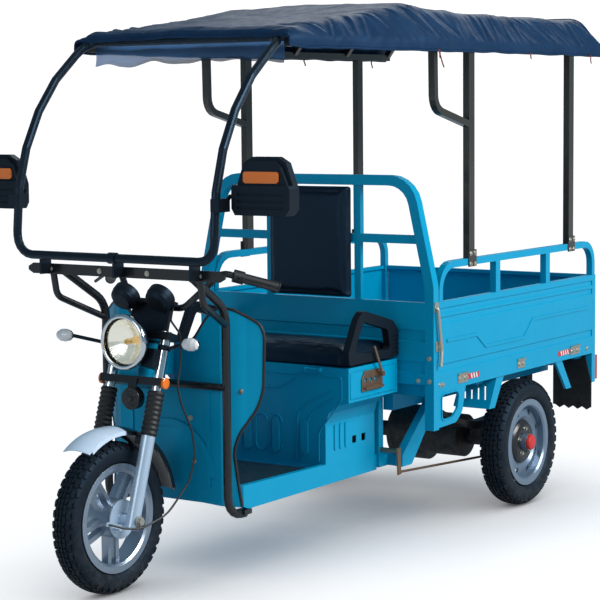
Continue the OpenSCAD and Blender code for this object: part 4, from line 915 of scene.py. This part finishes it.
def swell(piece, p, held):  # cloth under pressure, its resting face held, its travel capped
    start = [v.co.copy() for v in piece.data.vertices]
    group = piece.vertex_groups.new(name="held")
    group.add([k for k, v in enumerate(start) if held(v)], 1.0, "REPLACE")
    mod = piece.modifiers.new("swell", "CLOTH")
    mod.settings.vertex_group_mass = "held"
    mod.settings.use_pressure = True
    mod.settings.uniform_pressure_force = p["pressure"]
    mod.settings.effector_weights.gravity = 0
    mod.settings.quality = 4
    mod.point_cache.frame_start = 1
    mod.point_cache.frame_end = 20
    for f in range(1, 21):
        scene.frame_set(f)
    moved = bpy.data.meshes.new_from_object(piece.evaluated_get(bpy.context.evaluated_depsgraph_get()))
    ends = [v.co.copy() for v in moved.vertices]
    piece.modifiers.clear()
    scene.frame_set(1)
    for v, a, b in zip(piece.data.vertices, start, ends):
        d = b - a
        v.co = a + d * min(1.0, p["cap"] / max(d.length, 1e-9))


def finishPad(piece, seams, body, node):
    for v in piece.data.vertices:
        v.co += seams(v.co)
    piece.data.update()
    sub = piece.modifiers.new("soft", "SUBSURF")
    sub.levels = sub.render_levels = 1
    dress(piece, "blackVinyl", body, 80)
    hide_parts(node)


def makeCushion(p):
    piece = padForm("benchCushion", p)
    lo, hi = at(*p["low"]), at(*p["high"])
    swell(piece, p, lambda v: v.z < lo.z + 0.006)

    def seams(co):
        t = (co.x - lo.x) / (hi.x - lo.x)
        w = co.y / hi.y
        up = max(0.0, min(1.0, (co.z - lo.z - 0.03) / 0.02))
        crown = p["crown"] / 1000 * (1 - (2 * t - 1) ** 2) * (1 - w ** 4) * up
        line = 0.004 * math.exp(-((co.x - hi.x + 0.055 + 0.01 * math.sin(w * 3)) / 0.004) ** 2) * up
        welt = 0.003 * math.exp(-((co.z - lo.z - 0.016) / 0.003) ** 2)
        pull = noise.noise(Vector((co.x * 9, co.y * 5, 2))) * 0.0022 * up
        crease = ridge(co.x * 7 + co.y * 3.1, co.y * 2.4, 5) * 0.003 * up
        inward = Vector((co.x - (lo.x + hi.x) / 2, co.y, 0)).normalized()
        return Vector((0, 0, crown - line + pull - crease)) - inward * welt

    finishPad(piece, seams, "bench", "seat_cushion")


def makeBackrest(p):
    piece = padForm("backrestPad", p)
    lo, hi = at(*p["low"]), at(*p["high"])
    swell(piece, p, lambda v: v.x < lo.x + 0.004)

    def seams(co):
        w = co.y / hi.y
        t = 2 * (co.z - lo.z) / (hi.z - lo.z) - 1
        face = max(0.0, min(1.0, (co.x - lo.x - 0.018) / 0.01))
        crown = p["crown"] / 1000 * (1 - w ** 4) * (1 - t ** 4)
        near = min((1 - abs(w)) * hi.y, (1 - abs(t)) * (hi.z - lo.z) / 2)
        line = 0.0022 * math.exp(-((near - 0.020) / 0.0035) ** 2)
        pull = noise.noise(Vector((co.y * 8, co.z * 6, 1))) * 0.0012
        return Vector(((crown - line + pull) * face, 0, 0))

    finishPad(piece, seams, "chassis", "backrest")


makeCushion(cushion)
makeBackrest(backPad)
print("pads made")

# lamp, horn rings and reflectors on the steering
forkRake = math.radians(18)
sides = (("Left", 1), ("Right", -1))


def onFork(x, y, s):  # the fork's own frame: origin at the front axle, s up along the legs
    c, n = math.cos(forkRake), math.sin(forkRake)
    return at(1885 + x * c - s * n, y, 240 + x * n + s * c)


def ringPiece(name, profile, centre, axis, look, body, segments=48, closed=True, smooth=35.0):
    verts, faces = revolve([(a / 1000, r / 1000) for a, r in profile], centre, axis, segments, closed)
    return newPiece(name, verts, faces, look, body, smooth)


lampFace = {  # rows are (along, radius) in millimetres
    "centre": (1800, 0, 785), "facets": 26,
    "bowl": [(-9, 72), (-14, 64), (-21, 52), (-28, 37), (-33, 22), (-35, 8)],
    "bezel": [(9, 76), (11, 80), (9, 86), (2, 89), (-9, 88), (-12, 85.2), (0, 85.2), (5, 76)],
    "bulb": [(-33, 7), (-26, 9), (-17, 9.5), (-10, 7), (-7, 3)],
    "disc": [(0, 15), (0, 17), (4, 18), (9, 18), (11, 15), (11.5, 6)], "discAt": (4, 121.4, 437),
    "horn": (1793, 18, 606),
    "hornRings": [(-1, 36), (2, 35), (2, 31), (0.6, 29), (0.6, 24), (3, 22), (3, 17), (1, 14), (1, 9), (5, 8),
                  (6, 4)],
}


def makeLamp(l):
    c = at(*l["centre"])
    ringPiece("lampBezel", l["bezel"], c, (1, 0, 0), "chromePlate", "steering", 64, True, 50)
    bowl = l["bowl"] + [(a - 1.2, max(r - 1, 4)) for a, r in reversed(l["bowl"])]
    # the reflector's glow is painted light
    ringPiece("lampReflector", bowl, c, (1, 0, 0), "paintedGlowBowl", "steering", l["facets"], True, 1)
    # the bulb's warm colour is painted light
    ringPiece("lampBulb", l["bulb"], c, (1, 0, 0), "paintedWarmBulb", "steering", 20, False, 60)
    x, y, z = l["discAt"]
    for side, s in sides:
        ringPiece("forkReflector" + side, l["disc"], onFork(x, s * y, z), (0, s, 0), "amberLens", "steering",
                  24, False)
    ringPiece("hornRings", l["hornRings"], at(*l["horn"]), (1, 0, 0), "blackPaint", "steering",
              40, False, 30)


makeLamp(lampFace)

# dials: a dark face with plain marks and a needle
dial = {"x": 1707, "y": 70, "z": 915, "tilt": 55, "radius": 38, "marks": 9, "lift": 17.4}


def makeDials(d):
    tilt = math.radians(d["tilt"])
    axis = Vector((-math.sin(tilt), 0, math.cos(tilt)))
    across = Vector((0, 1, 0))
    up = axis.cross(across)
    for side, s in sides:
        c = at(d["x"], s * d["y"], d["z"]) + axis * d["lift"] / 1000
        face = [(0, d["radius"]), (0.8, d["radius"])]
        ringPiece("dialFace" + side, face, c, axis, "dialFace", "steering", 40, False)
        verts, faces = [], []
        for k in range(d["marks"] + 1):
            w = math.radians(220 - 260 * k / (d["marks"] - 1)) if k < d["marks"] else math.radians(160)
            out = across * math.cos(w) + up * math.sin(w)
            wide = out.cross(axis) * 0.0009
            r0, r1 = (0.028, 0.035) if k < d["marks"] else (0.0, 0.025)
            first = len(verts)
            for h in (0.0009, 0.0016):
                low = c + axis * h
                verts += [low + out * r0 - wide, low + out * r0 + wide, low + out * r1 + wide,
                          low + out * r1 - wide]
            f = first
            faces += [(f + 3, f + 2, f + 1, f), (f + 4, f + 5, f + 6, f + 7)]
            faces += [(f + a, f + (a + 1) % 4, f + 4 + (a + 1) % 4, f + 4 + a) for a in range(4)]
        newPiece("dialMarks" + side, verts, faces, "dialMark", "steering")


makeDials(dial)
print("lamp and dials made")


# flat trim: slabs with rounded corners on the mirrors, beams and floor
def slab(name, corner, u, v, n, look, body, cut=0.004):
    u, v, n = Vector(u), Vector(v), Vector(n)
    e, f = u.normalized() * cut, v.normalized() * cut
    ring = [e, u - e, u + f, u + v - f, u + v - e, v + e, v - f, f]
    verts = [corner + q for q in ring] + [corner + q + n for q in ring]
    faces = [tuple(range(7, -1, -1)), tuple(range(8, 16))]
    faces += [(k, (k + 1) % 8, 8 + (k + 1) % 8, 8 + k) for k in range(8)]
    return newPiece(name, verts, faces, look, body)


def mm(x, y, z):
    return Vector((x, y, z)) / 1000


flatTrim = {  # lamp on the mirror, then tape on the bed's beam, in millimetres
    "lamp": (1789, 465, 1291), "lampWide": 127, "lampTall": 35, "lampDeep": 5,
    "tapes": ((393, 476), (-348, -247)), "tapeY": 500, "tapeZ": 539, "tapeTall": 20, "tapeDeep": 0.9,
    "barWide": 9, "barLean": 7, "barTall": 18, "barDeep": 0.5, "barStep": 19,
}


def makeFlatTrim(f):
    for side, s in sides:
        x, y, z = f["lamp"]
        slab("mirrorLamp" + side, at(x, s * y, z), mm(0, s * f["lampWide"], 0), mm(0, 0, f["lampTall"]),
             mm(f["lampDeep"], 0, 0), "amberLens", "chassis", 0.006)
        y, z, deep = f["tapeY"], f["tapeZ"], f["tapeDeep"]
        for k, (x0, x1) in enumerate(f["tapes"]):
            slab("reflectTape%s%d" % (side, k), at(x0, s * y, z), mm(x1 - x0, 0, 0), mm(0, 0, f["tapeTall"]),
                 mm(0, s * deep, 0), "redTape", "chassis", 0.002)
            bar = slab("tapeBars%s%d" % (side, k), at(x0 + 10, s * (y + deep), z + 1), mm(f["barWide"], 0, 0),
                       mm(f["barLean"], 0, f["barTall"]), mm(0, s * f["barDeep"], 0), "whiteTape", "chassis",
                       0.001)
            count = int((x1 - x0 - 18) / f["barStep"])
            grow(bar, trees["row"], Count=count, Step=mm(f["barStep"], 0, 0), Look=finish["whiteTape"])
            dress(bar, "whiteTape", "chassis")


makeFlatTrim(flatTrim)

# ribbed rubber mat on the floor plate
floorMat = {"x": 1068, "long": 422, "half": 226, "z": 283, "thick": 2.5, "ribs": 34, "ribWide": 6,
            "ribTall": 2.2}


def makeMat(m):
    x, half, z = m["x"], m["half"], m["z"]
    slab("floorMat", at(x, -half, z), mm(m["long"], 0, 0), mm(0, 2 * half, 0), mm(0, 0, m["thick"]), "matRubber",
         "chassis", 0.02)
    rib = slab("matRibs", at(x + 16, -half + 10, z + m["thick"]), mm(m["long"] - 40, 0, 0),
               mm(0, m["ribWide"], 0), mm(0, 0, m["ribTall"]), "matRubber", "chassis", 0.002)
    pitch = (2 * half - 26) / (m["ribs"] - 1)
    grow(rib, trees["row"], Count=m["ribs"], Step=mm(0, pitch, 0), Look=finish["matRubber"])
    dress(rib, "matRubber", "chassis")


makeMat(floorMat)
print("flat trim made")

# rubber edge round the leg shield
shieldEdge = [(263, 240), (255, 300), (242, 420), (258, 480), (310, 560), (328, 620), (332, 795), (320, 830),
              (250, 874), (232, 880), (190, 880), (150, 845), (100, 775), (60, 760)]  # (y, z)
shieldPlan = [(0, 1570), (205, 1570), (235, 1558), (280, 1528), (344, 1498)]


def shieldX(y):
    for (a, xa), (b, xb) in zip(shieldPlan, shieldPlan[1:]):
        if abs(y) <= b:
            return xa + (xb - xa) * (abs(y) - a) / (b - a)
    return shieldPlan[-1][1]


def edgePath(s):
    soft = softPath([Vector((y, z, 0)) for y, z in shieldEdge], 26, 5)
    fine = []
    for a, b in zip(soft, soft[1:]):
        n = max(1, int((b - a).length / 12))
        fine += [a.lerp(b, k / n) for k in range(n)]
    return [at(shieldX(q.x) - 2.5, s * q.x, q.y) for q in fine + [soft[-1]]]


beadAlong("shieldTrim", [edgePath(1), edgePath(-1)], 0.0052, "blackRubber", "chassis", 10)

# lines pressed into the seat box: its front as (y, z) and its upper sides as (x, z)
pressed = {
    "front": 1050.4, "side": 360.4, "radius": 0.0026,
    "ovals": (-62, 0, 62), "ovalHalf": (24, 64), "ovalZ": 392,
    "frame": [(238, 308), (239, 407), (261, 437), (334, 526), (332, 606)],
    "step": [(146, 308), (152, 464), (169, 485), (198, 511), (292, 556)],
    "ledge": [(167, 308), (188, 435), (207, 468), (240, 499), (308, 534)],
    "brow": [(77, 552), (103, 564), (142, 590)],
    "panel": [(742, 529), (1039, 529), (1039, 622), (742, 622)],
}


def pressedLine(p, turns, bend):
    return [at(p["front"], q.x, q.y) for q in softPath([Vector((y, z, 0)) for y, z in turns], bend, 5)]


def makePressings(p):
    left = p["frame"]
    runs = [pressedLine(p, left + [(-y, z) for y, z in reversed(left)], 14)]
    brow = p["brow"]
    runs.append(pressedLine(p, [(-y, z) for y, z in reversed(brow)] + brow, 20))
    for s in (1, -1):
        runs += [pressedLine(p, [(s * y, z) for y, z in p[key]], 24) for key in ("step", "ledge")]
        turns = p["panel"] + p["panel"][:2]
        soft = softPath([Vector((x, z, 0)) for x, z in turns], 10, 5)
        runs.append([at(q.x, s * p["side"], q.y) for q in soft])
    wide, tall = p["ovalHalf"]
    for y in p["ovals"]:
        ring = []
        for k in range(49):
            w = math.tau * k / 48
            lift = math.copysign(tall - wide, math.sin(w))
            ring.append(at(p["front"], y + wide * math.cos(w), p["ovalZ"] + wide * math.sin(w) + lift))
        runs.append(ring)
    beadAlong("seatBoxPressings", runs, p["radius"], "tealPaint", "chassis", 10)


makePressings(pressed)
print("seat box pressings made")

# bolts of the left side, mirrored to the right: pairs are (y, z) on the shield and board, (x, z) on the beam
boltPlaces = {
    "shield": ((264, 614), (85, 519), (98, 378)),
    "beam": ((655, 543), (678, 543), (-502, 543)), "beamY": 500,
    "leaves": (490, 502, 526, 538, 52, 82, -422, -408, -376, -362), "leafY": 503, "leafZ": 548,
    "bar": (300, 96), "barX": 1797, "barZ": 1005,
    "posts": (424, 456, -376, -344), "postZ": (952, 990), "postY": 501.5,
    "board": ((485, 560), (485, 640), (440, 560), (330, 560)), "boardX": 724,
}


def chassisBolts(b):
    ahead, rows = (1, 0, 0), []
    for s in (1, -1):
        out = (0, s, 0)
        rows += [(at(shieldX(y), s * y, z), ahead) for y, z in b["shield"]]
        rows += [(at(x, s * b["beamY"], z), out) for x, z in b["beam"]]
        rows += [(at(x, s * b["leafY"], b["leafZ"]), out) for x in b["leaves"]]
        rows += [(at(b["barX"], s * y, b["barZ"]), ahead) for y in b["bar"]]
        rows += [(at(x, s * b["postY"], z), out) for x in b["posts"] for z in b["postZ"]]
        rows += [(at(b["boardX"], s * y, z), ahead) for y, z in b["board"]]
    return rows


boltsAt("chassisBolts", chassisBolts(boltPlaces), "chassis")

# hub ends of the rear wheels, rows as (along, radius)
hubEnd = {
    "y": 458, "z": 240, "bolts": 5, "boltRing": 0.05, "boltSeat": 0.0252,
    "cap": [(46, 30), (50, 30), (57, 27), (61, 20), (62, 8)],
    "ring": [(19, 34), (24, 34), (26, 60), (22, 74), (13, 82), (9, 80)],
}


def makeHubs(h):
    for side, s in sides:
        body = "rear_%s_wheel" % side.lower()
        hub, out = at(0, s * h["y"], h["z"]), (0, s, 0)
        ringPiece("hubCap" + side, h["cap"], hub, out, "redCap", body, 32, False, 30)
        ringPiece("hubRing" + side, h["ring"], hub, out, "blackPaint", body, 40)
        rows = []
        for k in range(h["bolts"]):
            w = math.tau * k / h["bolts"] + 0.3
            r = h["boltRing"]
            rows.append((hub + Vector((r * math.cos(w), s * h["boltSeat"], r * math.sin(w))), out))
        boltsAt("hubBolts" + side, rows, body, head=0.0065, tall=0.009, washer=0.008)


makeHubs(hubEnd)
axleEnds = [(onFork(0, s * 119, 0), (0, s, 0)) for s in (1, -1)]
boltsAt("axleNuts", axleEnds, "steering", head=0.013, tall=0.012, washer=0.018)
print("bolts set")
